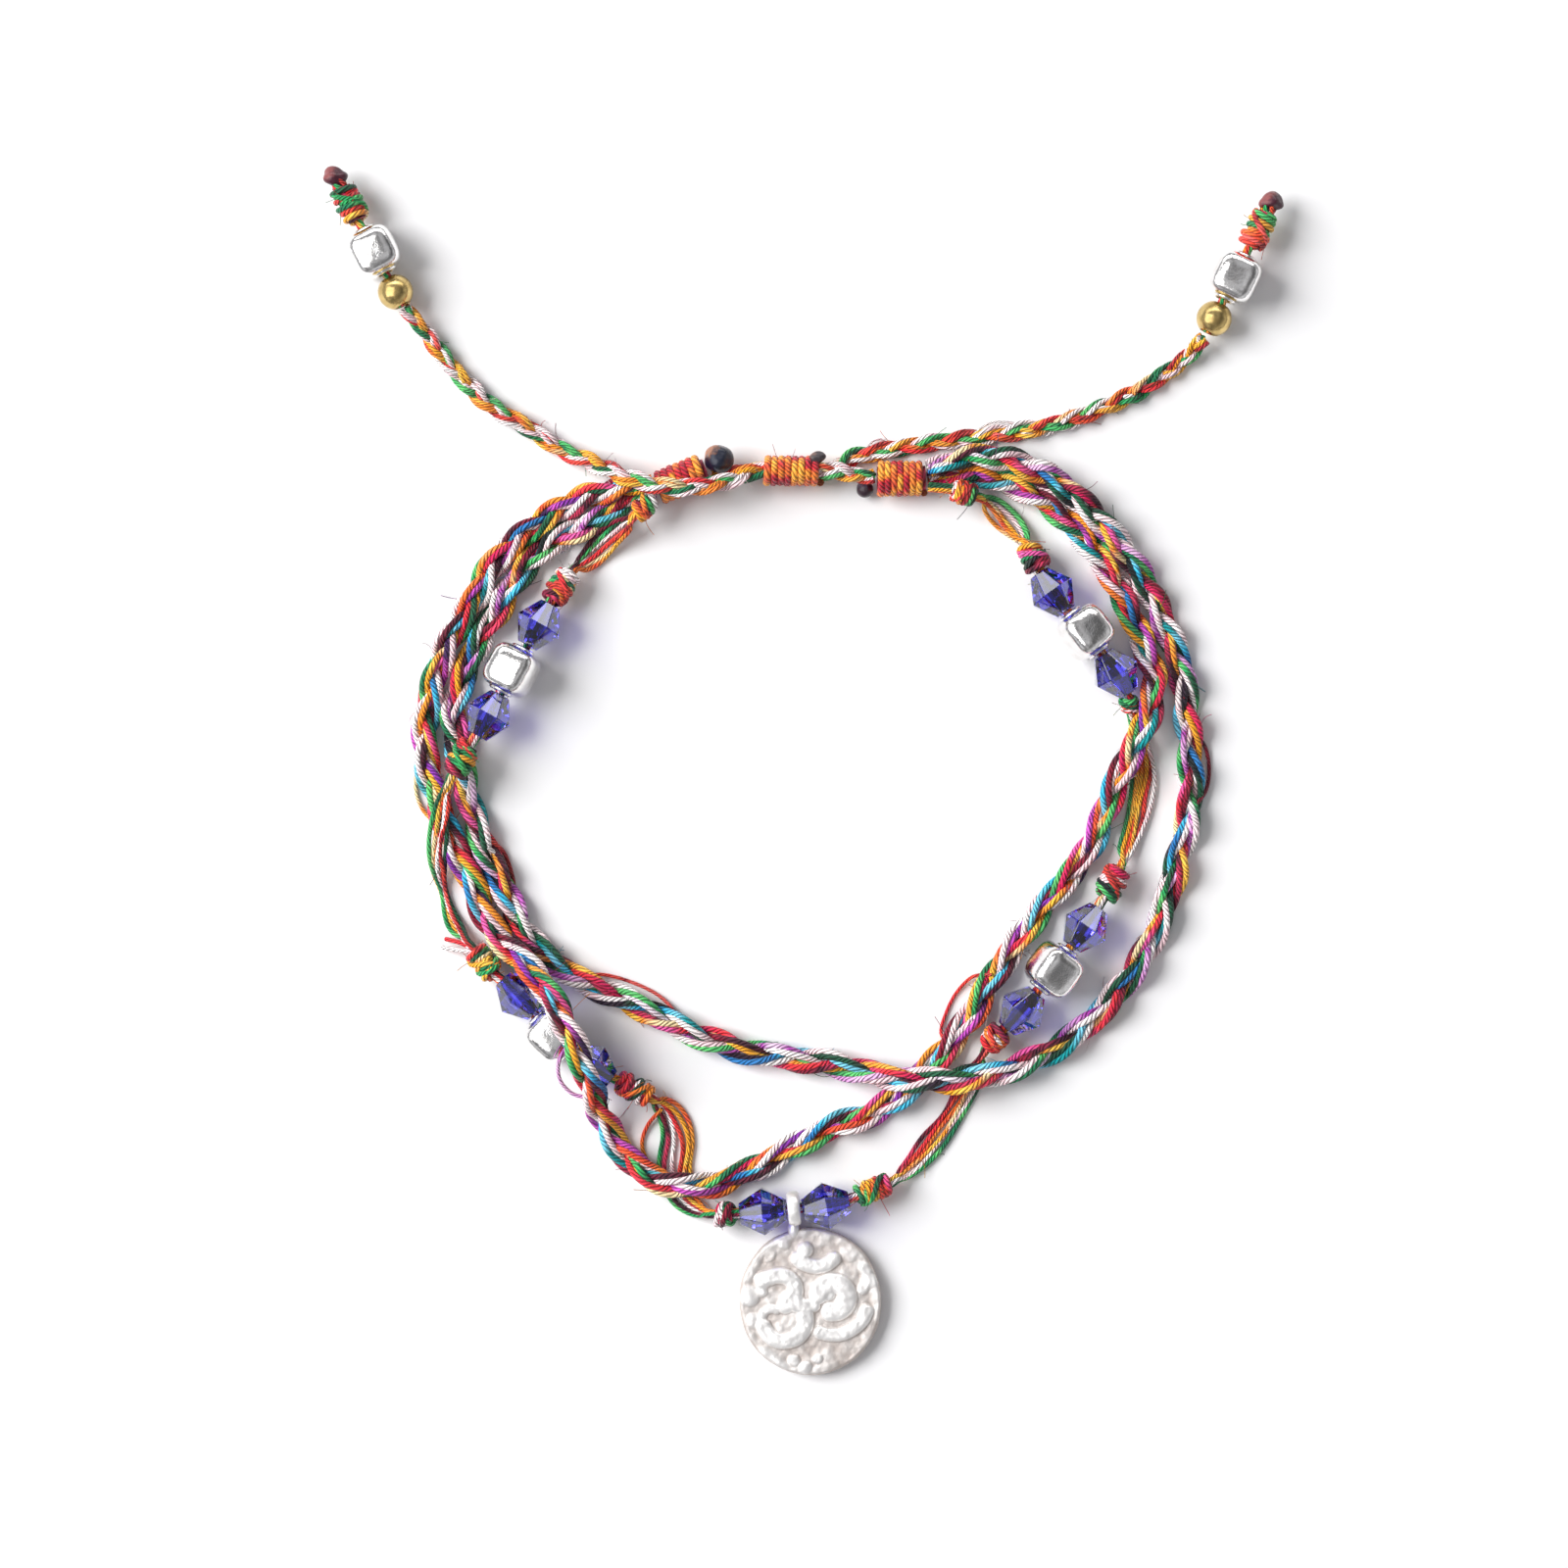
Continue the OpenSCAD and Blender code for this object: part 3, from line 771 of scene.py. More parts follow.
def lay(name: str, threads: Sequence[Thread], nodes: Sequence[str]) -> bpy.types.Object:
    """Joins laid threads into one piece.

    Args:
        name: The piece's name.
        threads: The threads in it.
        nodes: The CAD nodes that it stands for.

    Returns:
        The piece.
    """
    bm = bmesh.new()
    finishes = list(dict.fromkeys(thread.yarn for thread in threads))
    for thread in threads:
        mesh = thread.mesh()
        before = len(bm.faces)
        bm.from_mesh(mesh)
        bpy.data.meshes.remove(mesh)
        bm.faces.ensure_lookup_table()
        for face in bm.faces[before:]:
            face.material_index = finishes.index(thread.yarn)
            face.smooth = True
    return place_piece(name, bm, finishes, nodes)


def settle(path: np.ndarray, radius: float) -> np.ndarray:
    """Keeps a thread out of the floor.

    Args:
        path: The thread's middle line.
        radius: The thread's radius.

    Returns:
        The line, lifted where it would sink until it just lies on the floor.
    """
    path = path.copy()
    path[:, 2] = np.maximum(path[:, 2], radius)
    return path


class Fibres:
    """Fine fibres that have come off their threads and stand out from them."""

    DIAMETER = 0.05
    POINTS = 6
    ROOT = 0.4
    LENGTHS = (0.6, 1.7)
    OUTWARD = (0.4, 1.1)
    CURL = 0.35

    def loosen(self, threads: Sequence[Thread], count: int, rng: np.random.Generator) -> list[Thread]:
        """Frees some fibres.

        Args:
            threads: The threads that they come from.
            count: How many there are.
            rng: The seeded source of their places.

        Returns:
            The fibres, each of its thread's own yarn.
        """
        share = np.linspace(0, 1, self.POINTS)[:, None]
        fibres = []
        for _ in range(count):
            thread = threads[rng.integers(len(threads))]
            i = rng.integers(1, len(thread.path) - 1)
            heading = unit(thread.path[i + 1, :3] - thread.path[i - 1, :3])
            outward = unit(np.cross(heading, rng.normal(size=3)))
            start = thread.path[i, :3] + outward * thread.diameter * self.ROOT
            aim = unit(heading * rng.choice((-1.0, 1.0)) + outward * rng.uniform(*self.OUTWARD))
            length = rng.uniform(*self.LENGTHS)
            line = start + length * (aim * share + rng.normal(size=3) * self.CURL * share**2)
            line = settle(line, self.DIAMETER / 2)
            fibres.append(Thread(line, self.DIAMETER, thread.yarn, rng.uniform(0, YARN_REACH), 0))
        return fibres


@dataclass(frozen=True)
class Plait:
    """How a three-strand braid is laid: its sizes in millimetres, its squeeze at the ends, its fibres."""

    pitch: float
    swing: float
    lift: float
    squeeze: float
    thread_d: float
    spread: float
    rise: float
    fibres: int
    lay: float = 10.0


BODY_PLAIT = Plait(
    pitch=12, swing=0.71, lift=0.52, squeeze=0.6, thread_d=0.56, spread=0.26, rise=0.16, fibres=40
)
CORD_PLAIT = Plait(
    pitch=6.5, swing=0.45, lift=0.34, squeeze=0.8, thread_d=0.4, spread=0.21, rise=0.12, fibres=18
)


@dataclass
class Braid:
    """A three-strand braid whose strands are flat bundles of threads."""

    name: str
    places: Sequence[Row]
    yarns: Sequence[Sequence[Yarn]]
    plait: Plait
    seed: int

    RINGS_PER_TURN = 9
    RING_STEP = 0.32
    SQUEEZE_LENGTH = 7.0
    TIGHTER_AT_ENDS = 0.15
    WANDER = 0.06
    WANDER_STEPS = (0.9, 1.6)
    LAG = 0.6

    def _fullness(self, distance: np.ndarray) -> np.ndarray:
        """Share of its full thickness at a distance from one end."""
        squeeze = self.plait.squeeze
        return squeeze + (1 - squeeze) * ease(distance / self.SQUEEZE_LENGTH)

    def _strand(self, index: int) -> tuple[np.ndarray, np.ndarray]:
        """The middle line of a strand and how full the braid is along it.

        Args:
            index: The strand's number, from 0.

        Returns:
            The line's points and the fullness at each.
        """
        route = Route(self.places)
        turns = round(route.length / self.plait.pitch * self.RINGS_PER_TURN) / self.RINGS_PER_TURN
        share = np.linspace(0, 1, round(route.length / self.RING_STEP))
        along = share - self.TIGHTER_AT_ENDS * np.sin(FULL_TURN * share) / FULL_TURN
        full = self._fullness(along * route.length) * self._fullness((1 - along) * route.length)
        turn = FULL_TURN * (turns * share + index / len(self.yarns))
        sideways = full * self.plait.swing * np.sin(turn)
        upward = full * self.plait.lift * np.sin(2 * turn)
        return beside(route.at(along), sideways, upward), full

    def build(self) -> None:
        """Lays every strand's threads."""
        plait, radius = self.plait, self.plait.thread_d / 2
        for index, yarns in enumerate(self.yarns):
            middle, full = self._strand(index)
            walked = walk(middle)
            rng = np.random.default_rng(self.seed * 10 + index)
            threads = []
            for k, yarn in enumerate(yarns):
                phase = FULL_TURN * (k / len(yarns) + walked / plait.lay) + rng.uniform(0, self.LAG)
                step = rng.uniform(*self.WANDER_STEPS)
                wander = self.WANDER * np.sin(walked / step + rng.uniform(0, FULL_TURN))
                across = full * (plait.spread * np.cos(phase) + wander)
                path = settle(beside(middle, across, full * plait.rise * np.sin(phase)), radius)
                threads.append(Thread(path, plait.thread_d, yarn, rng.uniform(0, YARN_REACH)))
            node = f"{self.name}_strand_{index + 1}"
            lay(f"{node}_threads", threads + Fibres().loosen(threads, plait.fibres, rng), [node])


MIDDLE_BRAID = (
    (10.4, 25.8, 2.3), (12, 26.4, 2.3), (14, 26.9, 2.2), (16.5, 26.8, 2), (19, 26, 1.8), (21.6, 24.6, 1.8),
    (24.2, 22.2, 1.8), (26.6, 19.5, 1.7), (28.5, 16.8, 1.3), (30, 13.8, 0.9), (31.2, 11, 0.9),
    (32, 8.2, 0.9), (32.4, 5.2, 0.9), (32.6, 2.2, 0.9), (32.7, -0.8, 0.9), (32.4, -4, 0.9), (31.5, -7.7, 0.9),
    (30.3, -11.7, 0.9), (28.9, -15, 0.9), (26.8, -18.2, 0.9), (24, -21.2, 0.9), (20.8, -23.5, 1),
    (18, -24.8, 1.4), (15, -25.6, 2), (12, -25.9, 2.6), (9.5, -25.8, 2.7), (6.8, -25.6, 2), (4, -25, 1.1),
    (0.5, -24.3, 0.9), (-3.5, -23.8, 0.9), (-7, -23, 0.9), (-10.2, -21.7, 0.9), (-13.5, -20, 0.9),
    (-17, -18.4, 0.9), (-20, -17, 0.9), (-22.3, -15.2, 0.9), (-24.4, -12.5, 0.9), (-25.7, -9.5, 0.9),
    (-27.1, -6.5, 0.9), (-28.2, -3.5, 0.9), (-28.9, -0.5, 0.9), (-29.6, 2.5, 0.9), (-29.9, 5.2, 0.9),
    (-29.1, 8, 0.9), (-27.8, 11, 0.9), (-26.2, 13.8, 0.9), (-24.2, 17, 0.9), (-21.8, 19.4, 0.9),
    (-19, 20.9, 0.9), (-16.8, 22, 0.9), (-14.6, 23.3, 0.8), (-13, 24.2, 0.8),
)
LOWER_BRAID = (
    (-13, 24.6, 2), (-14.5, 24.5, 2), (-17, 24, 1.5), (-19.5, 23.1, 0.9), (-22, 21.7, 0.9),
    (-24.5, 19.9, 0.9), (-26.5, 17.8, 0.9), (-27.9, 15.3, 0.9), (-29.5, 12.6, 0.9), (-30.9, 9.8, 0.9),
    (-31.8, 7, 0.9), (-32.3, 4, 0.9), (-32.1, 1, 0.9), (-31.4, -1.8, 0.9), (-30.4, -4.5, 0.9),
    (-29.2, -7.3, 0.9), (-28, -10, 0.9), (-26.8, -12.7, 1.2), (-24.7, -15.1, 2.2), (-23, -16.8, 3.6),
    (-21.6, -18.5, 4.6), (-20.4, -20.5, 5), (-19.6, -22.5, 5.1), (-18.7, -24.6, 5.1), (-17.9, -27, 3.4),
    (-17.1, -29.4, 1.4), (-15.7, -31.8, 0.9), (-13.3, -34, 1.5), (-10.2, -34.9, 1.9), (-7, -34.6, 1.2),
    (-4.3, -33.4, 0.9), (-1.3, -31.8, 0.9), (2, -30.1, 0.9), (5.2, -28.9, 0.9), (8.2, -27.2, 0.9),
    (10.6, -24.8, 0.9), (12.6, -22.5, 0.9), (14.4, -19.9, 0.9), (16, -17.1, 0.9), (18.1, -14.1, 0.9),
    (20.4, -11, 0.9), (22.8, -8.1, 0.9), (24.7, -5.1, 0.9), (25.9, -1.8, 1.2), (27.2, 1, 1.8),
    (28.6, 3.9, 2.1), (29.5, 7, 1.8), (29.2, 9.7, 0.9), (28, 12.6, 0.9), (26.7, 15.4, 0.9),
    (24.9, 18.4, 0.9), (22.7, 21.1, 0.9), (20.3, 23.2, 0.9), (17.6, 24.6, 0.9), (14.2, 25.4, 0.9),
    (10.4, 25.3, 0.9),
)
LEFT_CORD = (
    (5.8, 25.2, 2.2), (4, 25.3, 2.2), (2.2, 25.7, 2.35), (-1, 25.7, 2.35), (-4.1, 25.7, 2.35),
    (-5.6, 25.1, 2.8), (-8, 24.4, 3.5), (-10.5, 24.2, 3.7), (-12.9, 24.4, 3.7), (-15, 25, 3.3),
    (-17.5, 26.1, 1.8), (-20.5, 27.5, 0.7), (-24, 29.6, 0.7), (-27.5, 31.9, 0.7), (-30.2, 34.7, 0.7),
    (-32.2, 37.4, 1), (-33.9, 39.5, 1.7),
)
RIGHT_CORD = (
    (-7.9, 25.5, 0.8), (-6.5, 25.6, 0.7), (-4.1, 25.7, 1), (-1, 25.7, 1), (2.2, 25.7, 1), (4, 26.9, 0.7),
    (6, 27.3, 0.65), (8, 27.7, 0.65), (12, 28.3, 0.65), (17, 28.9, 0.65), (21.5, 29.8, 0.65),
    (25.5, 31.2, 0.65), (29, 33, 0.65), (31.9, 35, 0.7), (33.7, 37, 1.6),
)

BRAIDS = (
    Braid(
        "middle_braid", MIDDLE_BRAID,
        ((TURQUOISE, WHITE, DARK_GREEN), (GOLD, CRIMSON, MAROON), (LILAC, WHITE, GREEN)),
        BODY_PLAIT, seed=3,
    ),
    Braid(
        "lower_braid", LOWER_BRAID,
        ((TURQUOISE, WHITE, MAROON), (ORANGE, PURPLE, WHITE), (GREEN, GOLD, CRIMSON)),
        BODY_PLAIT, seed=4,
    ),
    Braid(
        "left_cord", LEFT_CORD,
        ((GREEN, GREEN, WHITE), (GOLD, GOLD, ORANGE), (WHITE, RED, WHITE)),
        CORD_PLAIT, seed=5,
    ),
    Braid(
        "right_cord", RIGHT_CORD,
        ((GOLD, GOLD, WHITE), (RED, ORANGE, RED), (GREEN, WHITE, GREEN)),
        CORD_PLAIT, seed=6,
    ),
)


@dataclass(frozen=True)
class Strayed:
    """How one thread of a loose bunch runs: its place across the bunch from -1 to 1, and its yarn."""

    across: float
    yarn: Yarn


@dataclass(frozen=True)
class Section:
    """A stretch of the beaded thread: a knot, a loose bunch, a second knot and the beads after it."""

    first_knot: tuple[Row, Row]
    bunch: tuple[Row, ...]
    second_knot: tuple[Row, Row]
    beads: tuple[Row, ...]
    strays: tuple[Strayed, ...]


SECTIONS = (
    Section(
        ((-12.9, 23.3, 2.3, 0.9), (-14.4, 21.9, 2.5, 0.9)),
        ((-15.3, 21.1, 2.1, 1.4), (-16.6, 20, 1.3, 2), (-18.1, 18.6, 0.6, 2)),
        ((-19.9, 17.1, 1.5, 0.9), (-21.6, 14.6, 1.9, 0.9)),
        ((-22.6, 12.6, 2.1, 0.9), (-24.85, 8.8, 2.45, 0.9), (-26.8, 4.95, 2.6, 0.9)),
        (Strayed(1.1, ORANGE), Strayed(0.75, GOLD), Strayed(0.4, RED), Strayed(-0.4, WHITE),
         Strayed(-0.75, GREEN), Strayed(-1.1, MAROON)),
    ),
    Section(
        ((-28.3, 2.5, 3, 0.9), (-29.8, 0, 3.1, 0.9)),
        ((-30.5, -1.8, 2.6, 1.3), (-30.9, -4.2, 2.3, 1.7), (-31.3, -7.2, 1.6, 1.6), (-30.8, -9.8, 0.5, 1.3),
         (-29.8, -12.8, 0.6, 1.4)),
        ((-28.2, -14.8, 1.5, 0.9), (-26.3, -17, 1.8, 0.9)),
        ((-24.2, -18.75, 2.1, 0.9), (-21.5, -22.1, 2.1, 0.9), (-18.1, -24.7, 2.1, 0.9)),
        (Strayed(-1.0, GREEN), Strayed(-0.6, GOLD), Strayed(-0.2, ORANGE), Strayed(0.2, WHITE),
         Strayed(0.6, RED), Strayed(1.0, DARK_GREEN)),
    ),
    Section(
        ((-16, -25.9, 1.8, 0.9), (-13, -27.5, 1.5, 0.9)),
        ((-11.7, -28.9, 0.6, 2.2), (-11, -31, 0.5, 2.8), (-11.1, -33.7, 0.5, 2.8), (-10.6, -36, 0.5, 2.2),
         (-9.2, -37.1, 0.9, 1.4)),
        ((-7.6, -37.3, 1.7, 0.9), (-6.1, -37.2, 1.9, 0.9)),
        ((-3.6, -37, 2.1, 0.9), (-1, -36.75, 2.1, 0.9), (1.7, -36.5, 2.1, 0.9)),
        (Strayed(1.15, ORANGE), Strayed(0.75, GOLD), Strayed(0.35, RED), Strayed(-0.1, WHITE),
         Strayed(-0.65, MAROON), Strayed(-1.0, GREEN)),
    ),
    Section(
        ((4.2, -35.8, 1.9, 0.9), (7.3, -34.6, 1.4, 0.9)),
        ((9, -33.2, 0.7, 1.8), (11.6, -30.3, 0.5, 2.1), (13.6, -27.1, 0.5, 2), (14.6, -24.8, 0.8, 1.4)),
        ((15.4, -23.1, 1.4, 0.9), (16.7, -21.6, 1.9, 0.9)),
        ((18.3, -20, 2.1, 0.9), (21, -16.5, 2.5, 0.9), (23.65, -13, 2.1, 0.9)),
        (Strayed(-1.0, GREEN), Strayed(-0.6, WHITE), Strayed(-0.2, GOLD), Strayed(0.2, ORANGE),
         Strayed(0.6, RED), Strayed(1.0, MAROON)),
    ),
    Section(
        ((25.2, -10.5, 1.9, 0.9), (26.7, -7.9, 1.5, 0.9)),
        ((27.5, -5.8, 0.7, 1.7), (28.2, -3, 0.5, 2.1), (28.8, 0, 0.5, 2.1), (28.4, 2.7, 0.5, 1.8),
         (27.9, 4.2, 0.5, 1.2)),
        ((27.6, 5.3, 1.2, 0.9), (27.25, 6.6, 1.7, 0.9)),
        ((26.25, 8.55, 2.1, 0.9), (23.6, 12, 2.5, 0.9), (20.9, 15.35, 2.1, 0.9)),
        (Strayed(1.0, GREEN), Strayed(0.6, GOLD), Strayed(0.2, ORANGE), Strayed(-0.2, GOLD),
         Strayed(-0.6, RED), Strayed(-1.0, WHITE)),
    ),
    Section(
        ((19.8, 17.35, 1.9, 0.9), (18.8, 19.4, 1.5, 0.9)),
        ((18.2, 20.3, 1, 1.5), (17.4, 21.4, 0.6, 2), (16.3, 22.5, 0.7, 1.9), (15.4, 23.1, 1.2, 1.3)),
        ((14.5, 23.5, 1.9, 0.9), (12.3, 24.1, 2.3, 0.9)),
        ((10.4, 24.3, 2.1, 0.9),),
        (Strayed(1.2, GOLD), Strayed(0.6, ORANGE), Strayed(0.2, GOLD), Strayed(-0.3, WHITE),
         Strayed(-0.8, GREEN), Strayed(-1.15, GREEN)),
    ),
)


@dataclass
class BeadedThread:
    """The bundle of six threads that carries the beads, loose between its knots."""

    sections: Sequence[Section]
    thread_d: float = 0.4
    bundle_radius: float = 0.24
    loose_width: tuple[float, float] = (0.9, 1.5)
    sag: float = 0.22
    wander: float = 0.14
    fibres: int = 14

    RING_STEP = 0.3
    INTO_KNOT = (0.45, 0.55)
    TWIST_MM = 5
    BOW_STEPS = (0.9, 1.7)
    DROP = (-0.12, 0.12)
    SEED = 20

    def places(self, index: int) -> list[Row]:
        """The route of one section, from its first knot's middle to the next knot's.

        Args:
            index: The section's number, from 0.

        Returns:
            Rows of x, y, z and the bundle's width.
        """
        section = self.sections[index]
        less, more = self.INTO_KNOT
        start, end = (np.array(row) for row in section.first_knot)
        inside = start * less + end * more
        route = [tuple(start if index == 0 else inside), tuple(end)]
        route += [*section.bunch, *section.second_knot, *section.beads]
        if index + 1 < len(self.sections):
            near, far = (np.array(row) for row in self.sections[index + 1].first_knot)
            route += [tuple(near), tuple(near * more + far * less)]
        return route

    def bead_axis(self, section: int, bead: int) -> tuple[Vector, Vector]:
        """Where a bead sits on the thread.

        Args:
            section: The section's number.
            bead: The bead's number within it.

        Returns:
            Its centre in millimetres and the thread's direction there.
        """
        route = [Vector(row[:3]) for row in self.places(section)]
        i = len(route) - 2 - len(self.sections[section].beads) + bead
        return route[i], (route[i + 1] - route[i - 1]).normalized()

    def build(self) -> None:
        """Lays the six threads of each section."""
        radius = self.thread_d / 2
        tight, wide = self.loose_width
        for index, section in enumerate(self.sections):
            route = Route(self.places(index))
            path = route.evenly(self.RING_STEP)
            width = path[:, 3]
            walked = np.linspace(0, route.length, len(path))
            loose = ease((width - tight) / (wide - tight))
            rng = np.random.default_rng(self.SEED + index)
            threads = []
            for k, stray in enumerate(section.strays):
                angle = FULL_TURN * k / len(section.strays) + walked / self.TWIST_MM
                step = rng.uniform(*self.BOW_STEPS)
                bow = self.wander * np.sin(walked / step + rng.uniform(0, FULL_TURN))
                across = -stray.across * (width / 2 - radius) + bow
                above = rng.uniform(*self.DROP) - self.sag
                sideways = self.bundle_radius * np.cos(angle) * (1 - loose) + across * loose
                upward = self.bundle_radius * np.sin(angle) * (1 - loose) + above * loose
                line = settle(beside(path, sideways, upward), radius)
                threads.append(Thread(line, self.thread_d, stray.yarn, rng.uniform(0, YARN_REACH)))
            node = f"beaded_thread_{index + 1}"
            lay(f"{node}_threads", threads + Fibres().loosen(threads, self.fibres, rng), [node])


@dataclass(frozen=True)
class Axis:
    """A straight line through a knot or wrap, with the directions across it."""

    centre: np.ndarray
    along: np.ndarray
    side: np.ndarray
    up: np.ndarray

    @classmethod
    def through(cls, centre: np.ndarray, direction: Sequence[float]) -> Axis:
        """Sets up an axis.

        Args:
            centre: Its middle, in millimetres.
            direction: Where it points.

        Returns:
            The axis, with a level direction across it and an upward one.
        """
        along = np.array(Vector(direction).normalized())
        side = unit(np.cross(along, [0, 0, 1]))
        return cls(centre, along, side, np.cross(side, along))

    def points(
        self, along: np.ndarray, sideways: np.ndarray | float = 0.0, upward: np.ndarray | float = 0.0
    ) -> np.ndarray:
        """Places by their distances from the axis's middle.

        Args:
            along: How far they lie along it.
            sideways: How far they lie level and across it.
            upward: How far they lie above it.

        Returns:
            A row for each place.
        """
        placed = self.centre + np.outer(along, self.along)
        return placed + np.outer(sideways, self.side) + np.outer(upward, self.up)


@dataclass
class WoundKnot:
    """An overhand knot pulled tight: threads wound round their own bundle, each mostly at its own place."""

    name: str
    start: Row
    end: Row
    diameter: float
    yarns: Sequence[Yarn]
    seed: int
    thread_d: float = 0.5
    overlap: float = 1.3
    slant: float = 0.45
    extra: Sequence[Thread] = ()

    LEAST_TURNS = 1.6
    POINTS_PER_TURN = 26
    TUCKS_PER_TURN = 4
    TUCKED_REACH = 0.4
    TAPER = 0.3
    REACHES = (0.86, 1.04)
    LEAST_SLANT = 0.2
    CROSSING_POINTS = 22
    CROSSING_TURN = 1.1
    CROSSING_HEIGHT = 1.1
    CROSSING_LENGTH = 0.8
    CROSSING_LEAN = 0.5
    CORE_SHARE = 0.62
    CORE_HALF = 0.44
    FIBRES = 7

    def build(self) -> None:
        """Winds the knot round its core."""
        begin, finish = np.array(self.start[:3]), np.array(self.end[:3])
        length = float(np.linalg.norm(finish - begin))
        axis = Axis.through((begin + finish) / 2, finish - begin)
        rng = np.random.default_rng(self.seed)
        threads = self._windings(axis, length, rng)
        threads.append(self._crossing(axis, length, rng))
        threads += Fibres().loosen(threads, self.FIBRES, rng)
        core = axis.points(np.linspace(-self.CORE_HALF, self.CORE_HALF, 5) * length)
        threads.append(Thread(core, self.diameter * self.CORE_SHARE, MAROON))
        lay(f"{self.name}_threads", [*threads, *self.extra], [self.name])

    def _windings(self, axis: Axis, length: float, rng: np.random.Generator) -> list[Thread]:
        """The threads wound round the bundle, each mostly at its own place.

        Args:
            axis: The knot's axis.
            length: Its length.
            rng: The seeded source of how each thread lies.

        Returns:
            A thread for each yarn.
        """
        usable = length - self.thread_d
        own = usable / len(self.yarns)
        turns = max(own / self.thread_d, self.LEAST_TURNS)
        share = np.linspace(0, 1, round(turns * self.POINTS_PER_TURN))
        tucked = ease(np.minimum(share, 1 - share) * turns * self.TUCKS_PER_TURN)
        threads = []
        for k, yarn in enumerate(self.yarns):
            offset = (k + 0.5) * own - usable / 2
            along = offset + (share - 0.5) * own * self.overlap
            angle = FULL_TURN * share * turns + rng.uniform(0, FULL_TURN)
            lean, tilt = rng.uniform(0, FULL_TURN), rng.uniform(self.LEAST_SLANT, 1) * self.slant
            reach = self._reach * (1 - self.TAPER * np.abs(2 * along / length) ** 3)
            tuck = self.TUCKED_REACH + (1 - self.TUCKED_REACH) * tucked
            radius = reach * rng.uniform(*self.REACHES) * tuck
            along = along + tilt * radius * np.cos(angle - lean) * tucked
            threads.append(self._wound(axis, along, radius, angle, yarn, rng))
        return threads

    def _crossing(self, axis: Axis, length: float, rng: np.random.Generator) -> Thread:
        """The one thread that crosses over the others, as an overhand knot shows.

        Args:
            axis: The knot's axis.
            length: Its length.
            rng: The seeded source of its lean and yarn.

        Returns:
            The thread.
        """
        cross = np.linspace(-0.5, 0.5, self.CROSSING_POINTS)
        lean = rng.uniform(-self.CROSSING_LEAN, self.CROSSING_LEAN)
        angle = math.pi / 2 + cross * math.pi * self.CROSSING_TURN + lean
        over = self._reach * (self.CROSSING_HEIGHT - self.CROSSING_HEIGHT * cross**2)
        yarn = self.yarns[rng.integers(len(self.yarns))]
        return self._wound(axis, cross * length * self.CROSSING_LENGTH, over, angle, yarn, rng)

    @property
    def _reach(self) -> float:
        """How far from the axis an outer thread's middle lies."""
        return (self.diameter - self.thread_d) / 2

    def _wound(
        self, axis: Axis, along: np.ndarray, radius: np.ndarray, angle: np.ndarray, yarn: Yarn,
        rng: np.random.Generator,
    ) -> Thread:
        """One thread of the knot.

        Args:
            axis: The knot's axis.
            along: Distances along the knot from its middle.
            radius: Distances from its axis.
            angle: Bearings round the axis.
            yarn: The thread's yarn.
            rng: The seeded source of the yarn's start.

        Returns:
            The thread.
        """
        path = axis.points(along, radius * np.cos(angle), radius * np.sin(angle))
        return Thread(settle(path, self.thread_d / 2), self.thread_d, yarn, rng.uniform(0, YARN_REACH))


BEAD_KNOT_SEED = 40
KNOT_DIAMETERS = (2.1, 2.5, 2.5, 2.4, 2.3, 2.3, 2.3, 2.4, 2.6, 1.8, 2.6, 2.2)
KNOT_YARNS = (
    (WHITE, GREEN, MAROON, ORANGE, GOLD),
    (WHITE, GOLD, GREEN, RED, ORANGE, MAROON),
    (RED, GREEN, GOLD, GREEN, MAROON),
    (RED, GREEN, GOLD, GREEN, ORANGE),
    (CRIMSON, MAROON, DARK_GREEN, WHITE, ORANGE),
    (WHITE, MAROON, WHITE, GREEN),
    (GREEN, GOLD, ORANGE, RED, CRIMSON),
    (RED, WHITE, ORANGE, MAROON),
    (GREEN, DARK_GREEN, WHITE, RED, CRIMSON),
    (WHITE, RED, GREEN),
    (MAROON, DARK_GREEN, GREEN, CRIMSON, GOLD),
    (DARK_GREEN, GREEN, RED, ORANGE, WHITE),
)


def build_bead_knots(sections: Sequence[Section]) -> None:
    """Winds the twelve knots of the beaded thread, two for each section.

    Args:
        sections: The stretches of the beaded thread.
    """
    for index, (diameter, yarns) in enumerate(zip(KNOT_DIAMETERS, KNOT_YARNS)):
        section = sections[index // 2]
        start, end = section.first_knot if index % 2 == 0 else section.second_knot
        WoundKnot(f"bead_knot_{index + 1}", start, end, diameter, yarns, BEAD_KNOT_SEED + index).build()


@dataclass(frozen=True)
class SlackLoop:
    """A thread that has been pulled out of its braid or bunch and lies beside it."""

    places: tuple[Row, ...]
    yarn: Yarn
    diameter: float = 0.34

    STEP = 0.25
    YARN_SHIFT = 7

    def thread(self) -> Thread:
        """The loop as a laid thread, with a part of the yarn that goes by its place."""
        path = settle(Route(self.places).evenly(self.STEP), self.diameter / 2)
        return Thread(path, self.diameter, self.yarn, self.places[0][0] * self.YARN_SHIFT)


